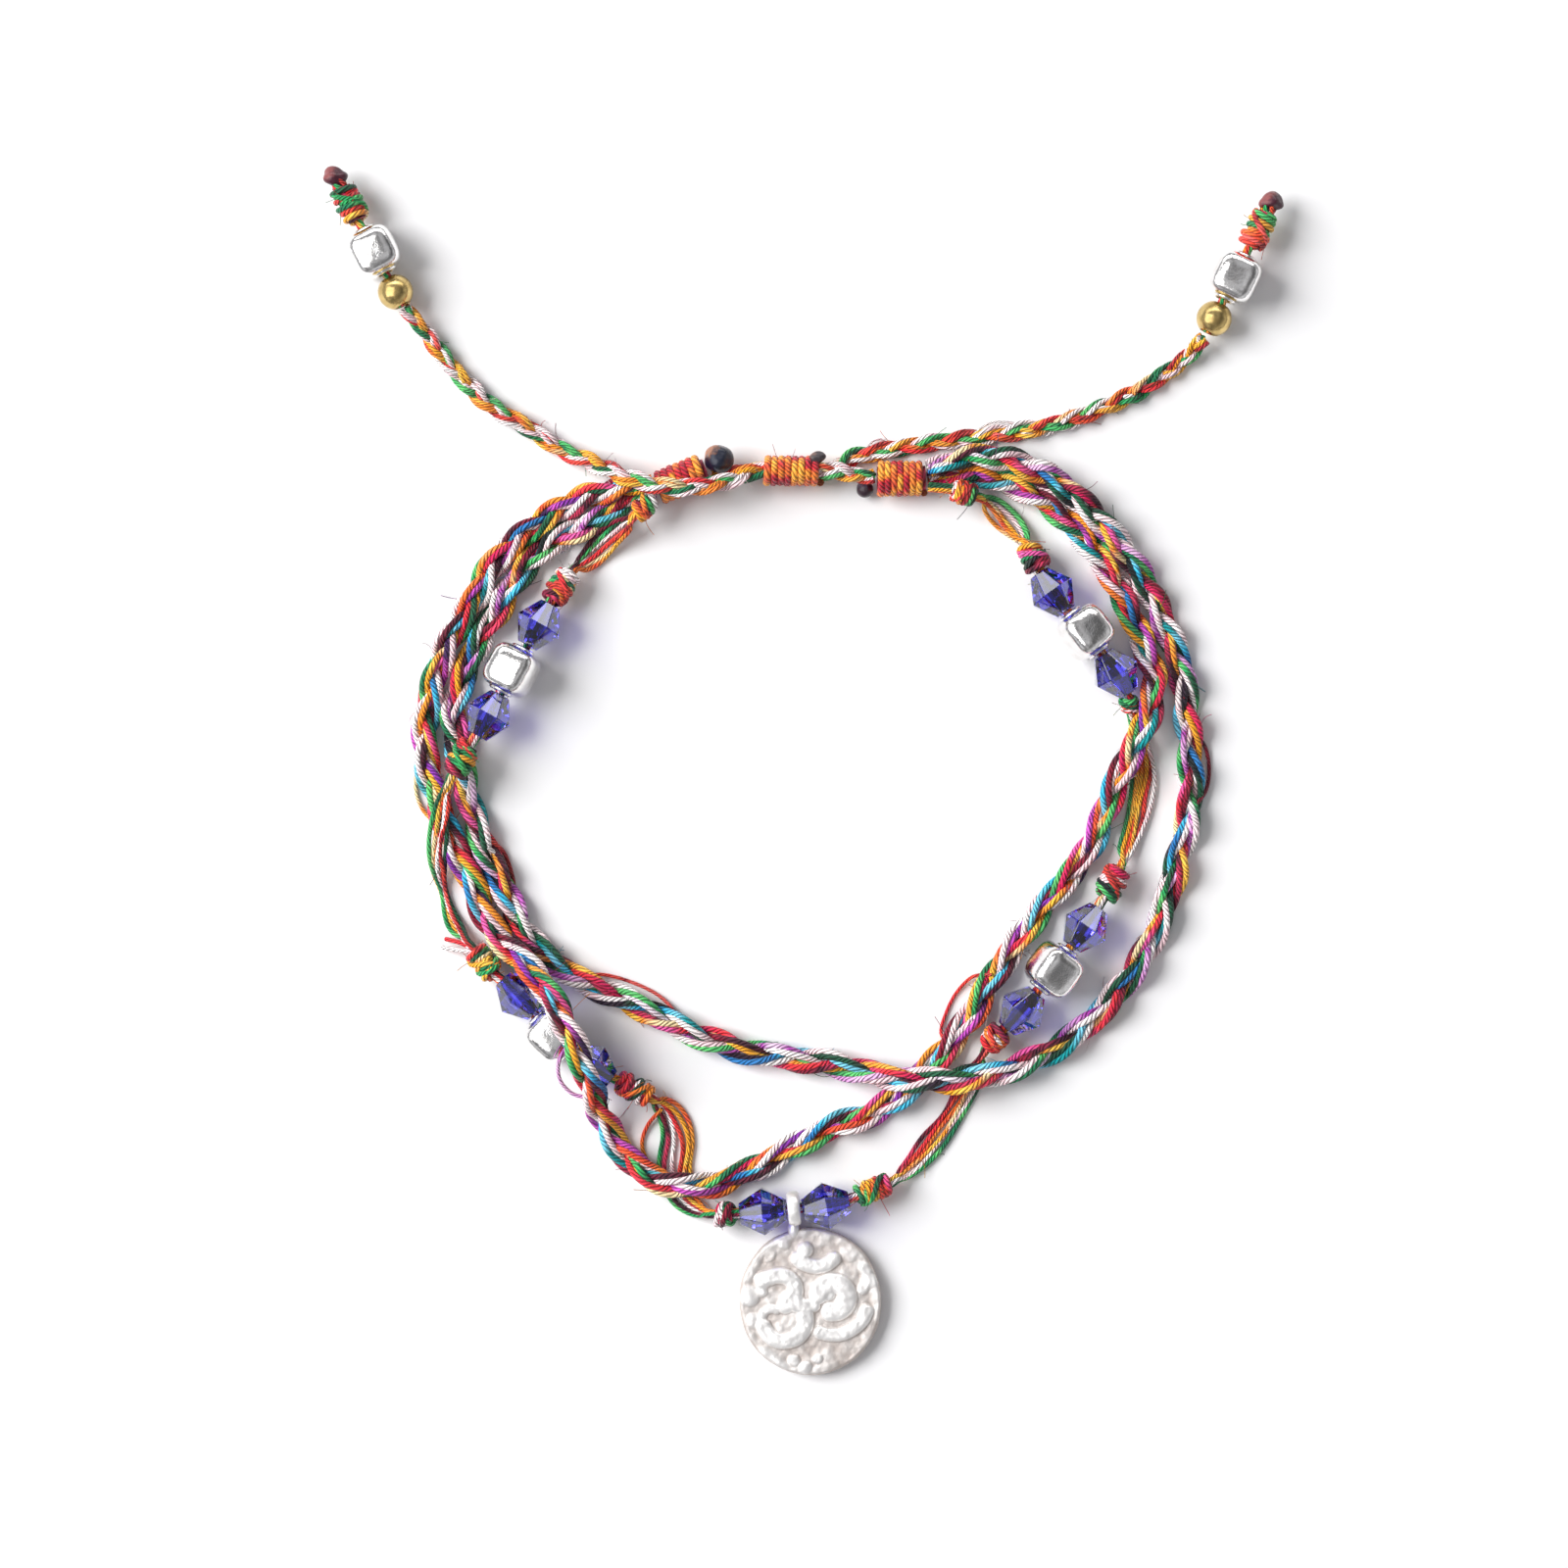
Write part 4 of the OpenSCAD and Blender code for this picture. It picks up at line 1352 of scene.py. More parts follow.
SLACK_LOOPS = (
    SlackLoop(((-19.6, -17.4, 1.2), (-17.5, -17, 0.5), (-15, -17.6, 0.2), (-12.5, -18.8, 0.2),
               (-10.7, -20.6, 0.8), (-9.6, -21.9, 1.3)), RED, 0.3),
    SlackLoop(((15.8, -17, 1.2), (14.2, -17.2, 0.5), (12.8, -18.6, 0.2), (11.9, -20.4, 0.2),
               (11.5, -22, 0.4), (12.2, -22.9, 1.3)), RED, 0.3),
    SlackLoop(((32.8, 3.6, 1.3), (33.9, 2.4, 0.5), (34.3, 0.5, 0.2), (34, -1.4, 0.5),
               (32.9, -2.8, 1.3)), MAROON),
    SlackLoop(((-32.2, 1.4, 1.3), (-33, 0.1, 0.5), (-33.1, -1.6, 0.2), (-32.4, -3.2, 0.4),
               (-31, -4.4, 1.3)), GOLD),
    SlackLoop(((-27.2, -5.4, 1.4), (-25.8, -6.4, 0.5), (-25.1, -8, 0.2), (-24.8, -9.6, 0.3),
               (-25.3, -11, 1.3)), RED),
    SlackLoop(((-26.9, -6.2, 1.4), (-25.9, -7.2, 0.5), (-25.4, -8.6, 0.2), (-25.2, -9.8, 0.4),
               (-25.6, -10.8, 1.3)), WHITE),
    SlackLoop(((-20, -22.8, 5), (-20.8, -24.2, 4.5), (-20.7, -25.8, 4), (-19.6, -27, 3.6),
               (-18, -27.3, 3.5)), LILAC),
    SlackLoop(((-28, -14.9, 1.8), (-29.3, -14.3, 1.1), (-30.6, -14, 0.3)), RED, 0.38),
    SlackLoop(((-28, -15.1, 1.8), (-29.5, -14.9, 1), (-30.9, -14.7, 0.3)), WHITE, 0.38),
    SlackLoop(((-12.2, -28.4, 0.9), (-13.4, -29.8, 0.4), (-13.9, -31.4, 0.2), (-13.4, -33, 0.2),
               (-12.4, -34.4, 0.2)), ORANGE),
    SlackLoop(((14.3, 28.9, 0.7), (15.6, 29.8, 0.5), (17.2, 29.9, 0.5), (18.6, 29.3, 0.7)), WHITE, 0.2),
    SlackLoop(((4.8, 27.1, 0.7), (5.6, 28.2, 0.4), (6.5, 28.5, 0.3)), WHITE, 0.16),
)


@dataclass
class Wrap:
    """Turns of one thread, side by side, round the bundled ends."""

    name: str
    centre: Row
    heading_deg: float
    length: float
    widths: tuple[float, float]
    heights: tuple[float, float]
    turns: int
    seed: int
    yarn: Yarn = WRAP_YARN
    has_core: bool = True

    POINTS_PER_TURN = 40
    SLACK = 0.035
    SLACK_BEATS = (1.37, 0.31)
    WAVE = 0.12
    TOUCH = 1.06
    CORE_HALF = 0.48
    CORE_INSET = 1.5

    def build(self) -> None:
        """Winds the wrap and fills it with its core."""
        heading = math.radians(self.heading_deg)
        axis = Axis.through(np.array(self.centre), (math.cos(heading), math.sin(heading), 0))
        thread_d = self.length / self.turns
        share = np.linspace(0, 1, self.turns * self.POINTS_PER_TURN)
        angle = FULL_TURN * share * self.turns
        rng = np.random.default_rng(self.seed)
        fast, slow = self.SLACK_BEATS
        slack = 1 + self.SLACK * np.sin(angle * fast + rng.uniform(0, FULL_TURN)) * np.sin(angle * slow)
        width = np.interp(share, [0, 1], self.widths) / 2 - thread_d / 2
        height = np.interp(share, [0, 1], self.heights) / 2 - thread_d / 2
        along = (share - 0.5) * (self.length - thread_d) + self.WAVE * thread_d * np.sin(angle + 1)
        path = axis.points(along, width * slack * np.cos(angle), height * slack * np.sin(angle))
        path = settle(path, thread_d / 2)
        threads = [Thread(path, thread_d * self.TOUCH, self.yarn, rng.uniform(0, YARN_REACH / 2))]
        if self.has_core:
            core = axis.points(np.linspace(-self.CORE_HALF, self.CORE_HALF, 5) * self.length)
            core_d = min(*self.widths, *self.heights) - thread_d * self.CORE_INSET
            threads.append(Thread(core, core_d, MAROON))
        lay(f"{self.name}_threads", threads, [self.name])


WRAPS = (
    Wrap("left_wrap", (-10.5, 25, 1.55), 21.5, 4.6, (2.9, 3.1), (2.9, 3.1), 7, 61),
    Wrap("centre_wrap", (-1.1, 25.7, 1.7), 0, 5.2, (2.6, 2.6), (3.4, 3.4), 8, 62, has_core=False),
    Wrap("right_wrap", (8.1, 25.05, 1.55), 1, 4.3, (3.1, 3), (3.1, 3), 7, 63),
)


@dataclass
class MeltedLump:
    """A bead of melted thread, uneven as it set."""

    name: str
    centre: Row
    diameter: float
    char: Colour
    # Painted light: this warmer colour is painted on the lump's side toward the lamps.
    warm_lit_side: Colour
    lit_side_from_mm: float = 0.2
    unevenness: float = 0.14
    stretch: Row = (1.0, 1.0, 1.0)
    stands_for_node: bool = True

    SUBDIVISIONS = 4
    RIPPLES_PER_MM = 1.1

    def build(self) -> None:
        """Rounds the lump and dents it."""
        bm = bmesh.new()
        bmesh.ops.create_icosphere(bm, subdivisions=self.SUBDIVISIONS, radius=self.diameter / 2 * MM)
        for vert in bm.verts:
            ripple = noise.noise(vert.co / MM * self.RIPPLES_PER_MM + Vector(self.centre))
            vert.co *= 1 + self.unevenness * ripple
        bmesh.ops.scale(bm, vec=self.stretch, verts=bm.verts)
        bmesh.ops.translate(bm, vec=Vector(self.centre) * MM, verts=bm.verts)
        shade_smooth(bm)
        finish = MeltedThread(
            f"{self.name}_finish", self.char, self.warm_lit_side, self.centre, lit_side_from_mm=self.lit_side_from_mm
        )
        place_piece(f"{self.name}_lump", bm, [finish], [self.name] if self.stands_for_node else [])


# Each lump's second colour is painted light on its side toward the lamps.
LUMPS = (
    MeltedLump(
        "left_wrap_melted_end", (-7.35, 26.65, 2.25), 2.4, (0.008, 0.012, 0.035), (0.42, 0.16, 0.07),
        lit_side_from_mm=0.8,
    ),
    MeltedLump("right_wrap_melted_end", (5.05, 24.2, 0.8), 1.5, (0.03, 0.008, 0.02), (0.16, 0.14, 0.2)),
    MeltedLump(
        "centre_wrap_charred_end", (0.9, 26.7, 2.7), 1.3, (0.06, 0.045, 0.05), (0.3, 0.16, 0.12),
        unevenness=0.4, stretch=(1.1, 0.85, 0.8), stands_for_node=False,
    ),
)


def turned(profile: Sequence[tuple[float, float]], steps: int, smooth: bool) -> bmesh.types.BMesh:
    """Turns a closed profile round the Z axis.

    Args:
        profile: Radius and height of each corner in millimetres, in order round the section.
        steps: How many sides the turned shape has.
        smooth: Whether its faces are shaded smoothly.

    Returns:
        The turned shape, with its normals outwards.
    """
    bm = bmesh.new()
    verts = [bm.verts.new((r * MM, 0, z * MM)) for r, z in profile]
    edges = [bm.edges.new((a, b)) for a, b in zip(verts, [*verts[1:], verts[0]])]
    bmesh.ops.spin(
        bm, geom=[*verts, *edges], cent=(0, 0, 0), axis=(0, 0, 1), angle=FULL_TURN, steps=steps,
        use_merge=True, use_duplicate=False,
    )
    bmesh.ops.remove_doubles(bm, verts=bm.verts, dist=SAME_PLACE)
    bmesh.ops.recalc_face_normals(bm, faces=bm.faces)
    if smooth:
        shade_smooth(bm)
    return bm


def on_axis(bm: bmesh.types.BMesh, centre: Vector, direction: Vector, turn_deg: float = 0.0) -> None:
    """Lays a bead that was built along Z onto the thread, as the part's source does.

    Args:
        bm: The bead, in metres.
        centre: Its place in millimetres.
        direction: The thread's direction there.
        turn_deg: Its turn about the thread.
    """
    tip = math.acos(max(-1.0, min(1.0, direction.z)))
    turn = math.atan2(direction.y, direction.x)
    placed = (
        Matrix.Translation(centre * MM)
        @ Matrix.Rotation(turn, 4, "Z")
        @ Matrix.Rotation(tip, 4, "Y")
        @ Matrix.Rotation(math.radians(turn_deg), 4, "Z")
    )
    bmesh.ops.transform(bm, matrix=placed, verts=bm.verts)


@dataclass
class CrystalBead:
    """A drilled bicone of cut glass."""

    diameter: float = 4.3
    length: float = 4.0
    end_d: float = 1.9
    bore_d: float = 1.1
    sides: int = 8
    worn_edge: float = 0.045
    finish: Finish = CutGlass()

    INSIDE_BORE = 0.55

    def build(self, index: int, centre: Vector, direction: Vector) -> None:
        """Cuts one crystal.

        Args:
            index: Its number in the frame, from 0.
            centre: Its place in millimetres.
            direction: The thread's direction there.
        """
        half = self.length / 2
        profile = (
            (self.bore_d / 2, -half), (self.end_d / 2, -half), (self.diameter / 2, 0),
            (self.end_d / 2, half), (self.bore_d / 2, half),
        )
        bm = turned(profile, self.sides, smooth=False)
        bore = self.bore_d * self.INSIDE_BORE * MM
        outer = [edge for edge in bm.edges if min(vert.co.xy.length for vert in edge.verts) > bore]
        bmesh.ops.bevel(
            bm, geom=outer, offset=self.worn_edge * MM, affect="EDGES", segments=1, profile=0.5, material=-1
        )
        on_axis(bm, centre, direction, 180 / self.sides)
        node = f"crystal_{index + 1}"
        place_piece(f"{node}_glass", bm, [self.finish], [node])


@dataclass
class CubeBead:
    """A cast silver cube with tumbled corners and a small collar at each end of its hole."""

    side: float = 4.0
    squareness: float = 3.6
    bore_d: float = 1.3
    collar_d: float = 2.2
    collar_h: float = 0.15
    cuts: int = 34
    finish: Finish = SILVER

    LIP_STEPS = 6
    COLLAR_SIDES = 32
    COLLAR_ROOT = 0.7

    def build(self, node: str, centre: Vector, direction: Vector, turn_deg: float) -> None:
        """Shapes one cube.

        Args:
            node: The CAD node that it stands for.
            centre: Its place in millimetres.
            direction: The thread's direction there.
            turn_deg: Its turn about the thread.
        """
        bm = bmesh.new()
        bmesh.ops.create_cube(bm, size=2)
        bmesh.ops.subdivide_edges(bm, edges=bm.edges, cuts=self.cuts, use_grid_fill=True)
        for vert in bm.verts:
            away = vert.co.normalized()
            reach = sum(abs(c) ** self.squareness for c in away) ** (-1 / self.squareness)
            vert.co = away * reach * self.side / 2 * MM
        shade_smooth(bm)
        self._add_collars(bm)
        on_axis(bm, centre, direction, turn_deg)
        place_piece(f"{node}_metal", bm, [self.finish], [node])

    def _add_collars(self, bm: bmesh.types.BMesh) -> None:
        """Adds the rounded rim of the hole at each end.

        Args:
            bm: The cube, which the rims join.
        """
        inner, outer = self.bore_d / 2, self.collar_d / 2
        lip = (outer - inner) / 2
        top = self.side / 2 + self.collar_h - lip
        turns = [math.pi * i / self.LIP_STEPS for i in range(self.LIP_STEPS + 1)]
        arc = [(inner + lip - lip * math.cos(turn), top + lip * math.sin(turn)) for turn in turns]
        root = self.side / 2 - self.COLLAR_ROOT
        ring = turned([(inner, root), *arc, (outer, root)], self.COLLAR_SIDES, smooth=True)
        for flip in (0, math.pi):
            collar = ring.copy()
            bmesh.ops.rotate(
                collar, verts=collar.verts, cent=(0, 0, 0), matrix=Matrix.Rotation(flip, 3, "X")
            )
            join(bm, collar)
        ring.free()


@dataclass
class BrassBead:
    """A small round brass bead with softened hole edges."""

    diameter: float = 3.0
    bore_d: float = 1.4
    finish: Finish = BRASS

    ARC_STEPS = 24
    SIDES = 48

    def build(self, node: str, centre: Vector, direction: Vector) -> None:
        """Turns one bead.

        Args:
            node: The CAD node that it stands for.
            centre: Its place in millimetres.
            direction: The thread's direction there.
        """
        radius = self.diameter / 2
        first = math.asin(self.bore_d / 2 / radius)
        span = math.pi - 2 * first
        turns = [first + span * i / self.ARC_STEPS for i in range(self.ARC_STEPS + 1)]
        arc = [(radius * math.sin(turn), -radius * math.cos(turn)) for turn in turns]
        bm = turned(arc, self.SIDES, smooth=True)
        on_axis(bm, centre, direction)
        place_piece(f"{node}_metal", bm, [self.finish], [node])


CRYSTALS = 10
CUBES = ((0, 18), (1, 0), (3, 22), (4, 22))


def build_beads(thread: BeadedThread) -> None:
    """Strings the crystals and silver cubes: a crystal at each side of a cube or of the bail.

    Args:
        thread: The thread that carries them.
    """
    crystal, cube = CrystalBead(), CubeBead()
    for index in range(CRYSTALS):
        centre, direction = thread.bead_axis(index // 2, index % 2 * 2)
        crystal.build(index, centre, direction)
    for index, (section, turn) in enumerate(CUBES):
        centre, direction = thread.bead_axis(section, 1)
        cube.build(f"silver_cube_{index + 1}", centre, direction, turn)


@dataclass
class CordEnd:
    """The end of a pull cord: brass bead, silver cube, knot and melted tip in a line."""

    index: int
    x: float
    y: float
    heading_deg: float
    yarns: Sequence[Yarn]
    height: float = 2.05
    brass_drop: float = 0.35
    cube_at: float = 3.85
    knot_at: float = 8.35
    knot_length: float = 3.5
    knot_d: float = 2.6
    tip_at: float = 10.97
    tip_d: float = 1.7
    thread_d: float = 0.38

    KNOT_SEED = 80
    KNOT_SLANT = 0.12
    TIP_CHAR = (0.09, 0.012, 0.03)
    # Painted light: the tip's warmer colour on its side toward the lamps.
    TIP_WARM_LIT_SIDE = (0.3, 0.07, 0.07)
    TIP_LIT_SIDE_FROM = 0.1
    TIP_UNEVENNESS = 0.35
    TIP_STRETCH = (1.2, 0.95, 0.95)
    THREADS_FROM = -1.4
    THREADS_INTO_TIP = 0.4
    THREAD_POINTS = 30
    THREAD_TURNS = 2
    BUNDLE_RADIUS = 0.2
    SPLAY = 0.3
    SPLAY_FROM = 0.8
    SPLAY_OVER = 0.15
    YARN_SHIFT = 30.0

    def _place(self, at: float, drop: float = 0.0) -> Vector:
        """The point at a distance along the end, in millimetres."""
        heading = math.radians(self.heading_deg)
        return Vector((self.x + at * math.cos(heading), self.y + at * math.sin(heading), self.height - drop))

    def build(self) -> None:
        """Builds the four pieces."""
        heading = math.radians(self.heading_deg)
        direction = Vector((math.cos(heading), math.sin(heading), 0))
        BrassBead().build(f"brass_bead_{self.index}", self._place(0, self.brass_drop), direction)
        CubeBead().build(f"cord_end_cube_{self.index}", self._place(self.cube_at), direction, 0)
        half = self.knot_length / 2
        start, end = self._place(self.knot_at - half), self._place(self.knot_at + half)
        WoundKnot(
            f"cord_end_knot_{self.index}", tuple(start), tuple(end), self.knot_d, self.yarns,
            self.KNOT_SEED + self.index, overlap=1.0, slant=self.KNOT_SLANT, extra=self._through(),
        ).build()
        MeltedLump(
            f"cord_end_tip_{self.index}", tuple(self._place(self.tip_at)), self.tip_d,
            self.TIP_CHAR, self.TIP_WARM_LIT_SIDE, self.TIP_LIT_SIDE_FROM, self.TIP_UNEVENNESS, self.TIP_STRETCH,
        ).build()

    def _through(self) -> list[Thread]:
        """The threads that run through both beads and the knot and splay into the tip.

        Returns:
            A thread for each yarn.
        """
        share = np.linspace(0, 1, self.THREAD_POINTS)
        start = np.array(self._place(self.THREADS_FROM))
        end = np.array(self._place(self.tip_at - self.THREADS_INTO_TIP))
        line = start + np.outer(share, end - start)
        reach = self.BUNDLE_RADIUS + self.SPLAY * ease((share - self.SPLAY_FROM) / self.SPLAY_OVER)
        threads = []
        for k, yarn in enumerate(self.yarns):
            angle = FULL_TURN * (k / len(self.yarns) + share * self.THREAD_TURNS)
            path = beside(line, reach * np.cos(angle), reach * np.sin(angle))
            threads.append(Thread(path, self.thread_d, yarn, self.YARN_SHIFT * k))
        return threads


CORD_ENDS = (
    CordEnd(1, -34.75, 40.85, 117.5, (GOLD, RED, GREEN, RED, GREEN)),
    CordEnd(2, 34.6, 38.6, 63.7, (RED, ORANGE, GREEN, GOLD, GREEN)),
)


@dataclass(frozen=True)
class Stroke:
    """A raised stroke of the sign: an arc about a centre, in millimetres from the disc's middle."""

    x: float
    y: float
    radius: float
    from_deg: float
    to_deg: float
    width: float
    height: float = 1.0

    def distance(self, px: np.ndarray, py: np.ndarray) -> np.ndarray:
        """How far points lie from the stroke's middle line, as a share of its half width.

        Args:
            px: The points' x.
            py: The points' y.

        Returns:
            0 on the middle line, 1 at the stroke's edge.
        """
        middle = math.radians((self.from_deg + self.to_deg) / 2)
        half = math.radians((self.to_deg - self.from_deg) / 2)
        dx, dy = px - self.x, py - self.y
        angle = (np.arctan2(dy, dx) - middle + math.pi) % FULL_TURN - math.pi
        on_arc = np.abs(np.hypot(dx, dy) - self.radius)
        ends = [
            np.hypot(dx - self.radius * math.cos(middle + turn), dy - self.radius * math.sin(middle + turn))
            for turn in (-half, half)
        ]
        return np.where(np.abs(angle) <= half, on_arc, np.minimum(*ends)) / (self.width / 2)


SIGN = (
    Stroke(-2.6, 0.9, 1.35, -70, 110, 1.4),
    Stroke(-2.6, -0.9, 3.1, 85, 118, 1.4),
    Stroke(-2.2, -1.5, 1.85, -160, 80, 1.4),
    Stroke(1.9, 0.4, 1.25, -100, 170, 1.7),
    Stroke(1.9, 0.3, 3.1, -110, -20, 1.2),
    Stroke(0.45, 5.1, 2.1, -137, -44, 1.3),
    Stroke(-0.5, -40.3, 40.0, 88.9, 91.1, 1.2),
    Stroke(-0.45, 4.4, 0.0, 0, 360, 1.4),
)
CASTING_BUMPS = (
    Stroke(1.3, 0.9, 0.0, 0, 360, 1.8, 0.7),
    Stroke(-3.3, 1.0, 0.8, 90, 190, 0.9, 0.6),
    Stroke(-3.3, -1.4, 0.8, 60, 200, 0.8, 0.5),
    Stroke(3.2, 2.1, 1.6, -40, 30, 1.0, 0.6),
    Stroke(-5.2, 0.5, 0.0, 0, 360, 1.9, 0.5),
    Stroke(-4.7, -1.6, 0.0, 0, 360, 1.5, 0.4),
    Stroke(5.2, 1.8, 0.0, 0, 360, 1.4, 0.6),
    Stroke(-1.4, -5.0, 0.0, 0, 360, 1.1, 0.6),
    Stroke(-0.4, -5.5, 0.0, 0, 360, 1.1, 0.7),
    Stroke(0.6, -4.8, 0.0, 0, 360, 0.9, 0.5),
    Stroke(3.3, 4.1, 0.0, 0, 360, 1.6, 0.3),
    Stroke(-3.6, 4.0, 0.0, 0, 360, 1.4, 0.3),
    Stroke(-2.2, 4.9, 0.0, 0, 360, 1.0, 0.4),
)


@dataclass
class Pendant:
    """The cast disc with its raised sign, and the bail that it hangs from."""

    x: float = 0.4
    y: float = -44.75
    diameter: float = 12.05
    tallness: float = 1.035
    thickness: float = 1.2
    relief: float = 0.4
    rim_width: float = 0.5
    rim_height: float = 0.12
    bail_d: float = 3.0
    bail_bore_d: float = 1.8
    bail_width: float = 1.1
    corner: float = 0.25
    rings: int = 74
    sides: int = 300
    finish: Finish = CastSilver()

    SOFTENED = 0.3
    STROKE_POWER = 3
    BLEND_POWER = 4
    TALLEST = 1.1
    RIM_WAVES = ((3, 1, 0.5), (8, 0, 0.3))
    RIM_KEPT = 0.6
    RIM_RANGE = (0.1, 1.3)
    DENTS = ((3.1, 0.8, 0.1), (9.7, 2.2, 0.05))
    EDGE_LAYER = 0.5
    EDGE_PER_TURN = 2.4
    EDGE_WEAR = 0.012
    BAIL_STEPS = 14
    BAIL_SIDES = 40
    NECK_SIZE = (0.55, 1.05, 0.6)
    NECK_SIDES = 24
    NECK_RINGS = 16
    NECK_BELOW_BAIL = 1.75
    NECK_HEIGHT = 0.95

    def _height(self, px: np.ndarray, py: np.ndarray) -> np.ndarray:
        """The face's height above its flat ground, in millimetres.

        Args:
            px: Points' x from the disc's middle.
            py: Points' y from the disc's middle.

        Returns:
            The height at each point.
        """
        heights = []
        for stroke in (*SIGN, *CASTING_BUMPS):
            rounded = np.clip(1 - stroke.distance(px, py) ** self.STROKE_POWER, 0, 1)
            heights.append(stroke.height * self.relief * np.sqrt(rounded))
        blended = np.sum(np.power(heights, self.BLEND_POWER), axis=0) ** (1 / self.BLEND_POWER)
        bearing = np.arctan2(py, px)
        waves = (size * np.sin(count * bearing + shift) for count, shift, size in self.RIM_WAVES)
        worn = np.clip(sum(waves, self.RIM_KEPT), *self.RIM_RANGE)
        inward = np.hypot(px, py / self.tallness) - self.diameter / 2 + self.rim_width * 2
        rim = self.rim_height * worn * ease(inward / self.rim_width)
        return np.maximum(np.minimum(blended, self.TALLEST * self.relief), rim)

    def build(self, bail_centre: Vector, bail_direction: Vector) -> None:
        """Casts the disc, its neck and its bail as one piece.

        Args:
            bail_centre: The bail's place in millimetres.
            bail_direction: The thread's direction through it.
        """
        bm = self._disc()
        bmesh.ops.translate(bm, vec=(self.x * MM, self.y * MM, 0), verts=bm.verts)
        self._add_bail(bm, bail_centre, bail_direction)
        place_piece("pendant_metal", bm, [self.finish], ["pendant"])

    def _disc(self) -> bmesh.types.BMesh:
        """Turns the disc and raises its sign.

        Returns:
            The disc about the origin, with its face up and its edge worn.
        """
        radius, corner, soft = self.diameter / 2, self.corner, self.corner * self.SOFTENED
        flat = radius - corner
        face = [(flat - flat * i / self.rings, self.thickness) for i in range(self.rings + 1)]
        wall = [
            (0, 0), (flat, 0), (radius, corner), (radius, self.thickness - corner),
            (radius - soft, self.thickness - soft),
        ]
        bm = turned([*wall, *face], self.sides, smooth=True)
        top = [vert for vert in bm.verts if vert.co.z > (self.thickness - corner / 2) * MM]
        px, py = (np.array([vert.co[k] for vert in top]) / MM for k in (0, 1))
        py = py * self.tallness
        for vert, height, a, b in zip(top, self._height(px, py), px, py):
            dents = [noise.noise(Vector((a, b, layer)) * per_mm) * d for layer, per_mm, d in self.DENTS]
            vert.co.z += (height + sum(dents)) * MM
        for vert in bm.verts:
            bearing = math.atan2(vert.co.y, vert.co.x)
            edge = Vector((math.cos(bearing), math.sin(bearing), self.EDGE_LAYER))
            vert.co.xy *= 1 + noise.noise(edge * self.EDGE_PER_TURN) * self.EDGE_WEAR
            vert.co.y *= self.tallness
        return bm

    def _add_bail(self, bm: bmesh.types.BMesh, centre: Vector, direction: Vector) -> None:
        """Adds the ring round the thread and the neck that joins it to the disc.

        Args:
            bm: The disc, which the parts join.
            centre: The bail's place in millimetres.
            direction: The thread's direction through it.
        """
        middle = (self.bail_d + self.bail_bore_d) / 4
        half_w, half_h = self.bail_width / 2, (self.bail_d - self.bail_bore_d) / 4
        turns = [FULL_TURN * i / self.BAIL_STEPS for i in range(self.BAIL_STEPS)]
        profile = [(middle + half_h * math.cos(turn), half_w * math.sin(turn)) for turn in turns]
        ring = turned(profile, self.BAIL_SIDES, smooth=True)
        on_axis(ring, centre, direction)
        neck = bmesh.new()
        bmesh.ops.create_uvsphere(
            neck, u_segments=self.NECK_SIDES, v_segments=self.NECK_RINGS, radius=1.0
        )
        bmesh.ops.scale(neck, vec=tuple(size * MM for size in self.NECK_SIZE), verts=neck.verts)
        place = (centre.x * MM, (centre.y - self.NECK_BELOW_BAIL) * MM, self.NECK_HEIGHT * MM)
        bmesh.ops.translate(neck, vec=place, verts=neck.verts)
        shade_smooth(neck)
        for part in (ring, neck):
            join(bm, part)


@dataclass(frozen=True)
class Lamp:
    """A soft lamp that faces the bracelet."""

    name: str
    azimuth_deg: float
    elevation_deg: float
    distance: float
    width: float
    height: float
    watts: float
    lights_matt: bool = True
    shows_in_gloss: bool = True

    def hang(self) -> None:
        """Hangs the lamp."""
        azimuth, elevation = math.radians(self.azimuth_deg), math.radians(self.elevation_deg)
        level = math.cos(elevation)
        towards = Vector((level * math.cos(azimuth), level * math.sin(azimuth), math.sin(elevation)))
        data = bpy.data.lights.new(self.name, "AREA")
        data.shape = "RECTANGLE"
        data.size, data.size_y = self.width, self.height
        data.energy = self.watts
        lamp = bpy.data.objects.new(self.name, data)
        lamp.location = towards * self.distance
        lamp.rotation_mode = "QUATERNION"
        lamp.rotation_quaternion = (-towards).to_track_quat("-Z", "Y")
        lamp.visible_diffuse = self.lights_matt
        lamp.visible_glossy = self.shows_in_gloss
        bpy.context.scene.collection.objects.link(lamp)


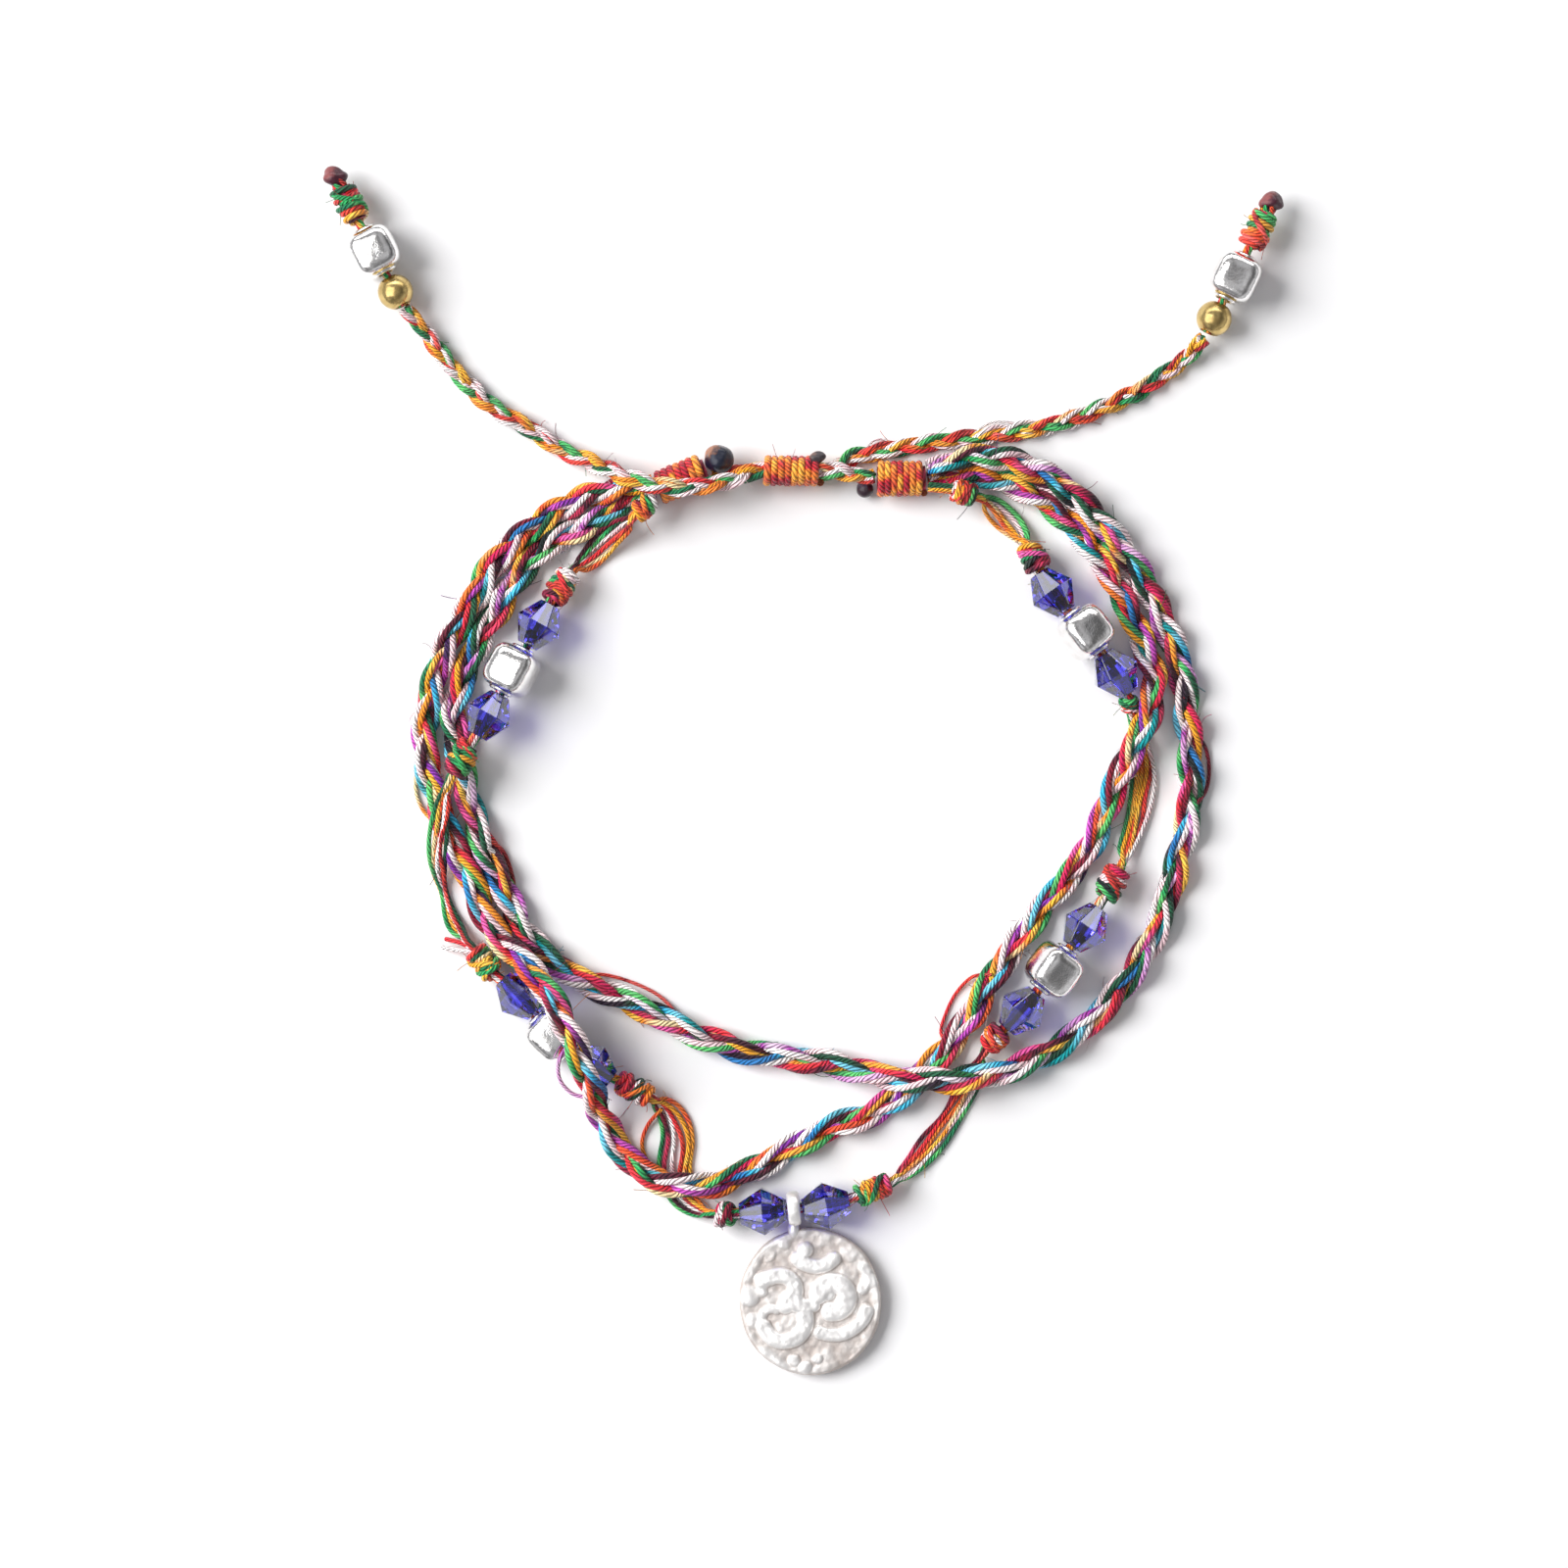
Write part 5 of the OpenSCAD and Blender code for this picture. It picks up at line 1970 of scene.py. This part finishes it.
@dataclass
class Studio:
    """The pale floor, the soft lights and the camera over the bracelet."""

    pixels_per_mm: float = 12.0
    frame_px: float = 1600.0
    origin_px: tuple[float, float] = (822.0, 790.0)
    camera_height: float = 0.45
    sensor: float = 36.0
    floor_size: float = 3.0
    room: tuple[tuple[float, float], ...] = (
        (0.0, 0.2), (0.04, 0.05), (0.1, 0.42), (0.4, 0.4), (0.55, 0.2), (0.8, 0.28), (0.93, 0.4),
        (0.99, 0.36),
    )
    patchiness: float = 1.1
    coolness: float = 1.03
    lamps: tuple[Lamp, ...] = (
        Lamp("key_light", 163, 38, 1.6, 1.05, 1.05, 40, shows_in_gloss=False),
        Lamp("left_panel", 176, 54, 0.4, 0.42, 0.4, 1.1, lights_matt=False),
        Lamp("back_panel", 92, 28, 0.5, 0.9, 0.16, 1.25, lights_matt=False),
    )

    CLIP = (0.01, 10)
    PATCHES = 2.2
    PATCH_SPAN = (0.36, 0.64)

    def build(self) -> None:
        """Sets the stage."""
        self._camera()
        self._floor()
        for lamp in self.lamps:
            lamp.hang()
        self._world()
        scene = bpy.context.scene
        scene.view_settings.view_transform = "Standard"
        scene.view_settings.look = "None"

    def _camera(self) -> None:
        """Looks straight down, framed as the photograph is."""
        width = self.frame_px / self.pixels_per_mm * MM
        data = bpy.data.cameras.new("camera")
        data.sensor_width = self.sensor
        data.lens = self.sensor * self.camera_height / width
        data.clip_start, data.clip_end = self.CLIP
        camera = bpy.data.objects.new("camera", data)
        middle = self.frame_px / 2
        x = (middle - self.origin_px[0]) / self.pixels_per_mm * MM
        y = (self.origin_px[1] - middle) / self.pixels_per_mm * MM
        camera.location = (x, y, self.camera_height)
        bpy.context.scene.collection.objects.link(camera)
        bpy.context.scene.camera = camera

    def _floor(self) -> None:
        """A broad sheet of matt white."""
        bm = bmesh.new()
        bmesh.ops.create_grid(bm, x_segments=1, y_segments=1, size=self.floor_size / 2)
        mesh = bpy.data.meshes.new("floor")
        bm.to_mesh(mesh)
        bm.free()
        floor = bpy.data.objects.new("floor", mesh)
        bpy.context.scene.collection.objects.link(floor)
        material, graph = new_graph("white_floor")
        colour = (0.93, 0.925, 0.93, 1)
        graph.finish(graph.principled({"Base Color": colour, "Roughness": 0.9, "Specular IOR Level": 0.1}))
        mesh.materials.append(material)

    def _world(self) -> None:
        """A white room that is darker low down and overhead, where the camera hangs."""
        world = bpy.data.worlds.new("room")
        world.use_nodes = True
        bpy.context.scene.world = world
        graph = Graph(world.node_tree)
        direction = graph.node("ShaderNodeTexCoord", output=graph.GENERATED_COORDINATES)
        height = graph.part(direction, 2)
        stops = [(place, (level, level, level * self.coolness)) for place, level in self.room]
        level = graph.node("ShaderNodeValToRGB", {"stops": stops}, {0: height})
        sockets = {"Vector": direction, "Scale": self.PATCHES, "Detail": 1.0}
        cloud = graph.node("ShaderNodeTexNoise", None, sockets).clamped(*self.PATCH_SPAN)
        patch = 1 - self.patchiness / 2 + self.patchiness * cloud
        colour = graph.mix("MULTIPLY", 1.0, level, graph.grey(patch))
        room = graph.node("ShaderNodeBackground", None, {"Color": colour})
        graph.node("ShaderNodeOutputWorld", None, {0: room})


def main() -> None:
    """Builds the studio and every piece."""
    logging.basicConfig(level=logging.INFO, format="%(name)s: %(message)s")
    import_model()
    Studio().build()
    for braid in BRAIDS:
        braid.build()
    thread = BeadedThread(SECTIONS)
    thread.build()
    build_bead_knots(SECTIONS)
    lay("slack_loops", [loop.thread() for loop in SLACK_LOOPS], [])
    build_beads(thread)
    for wrap in WRAPS:
        wrap.build()
    for lump in LUMPS:
        lump.build()
    for end in CORD_ENDS:
        end.build()
    Pendant().build(*thread.bead_axis(2, 1))


if __name__ == "__main__":
    main()
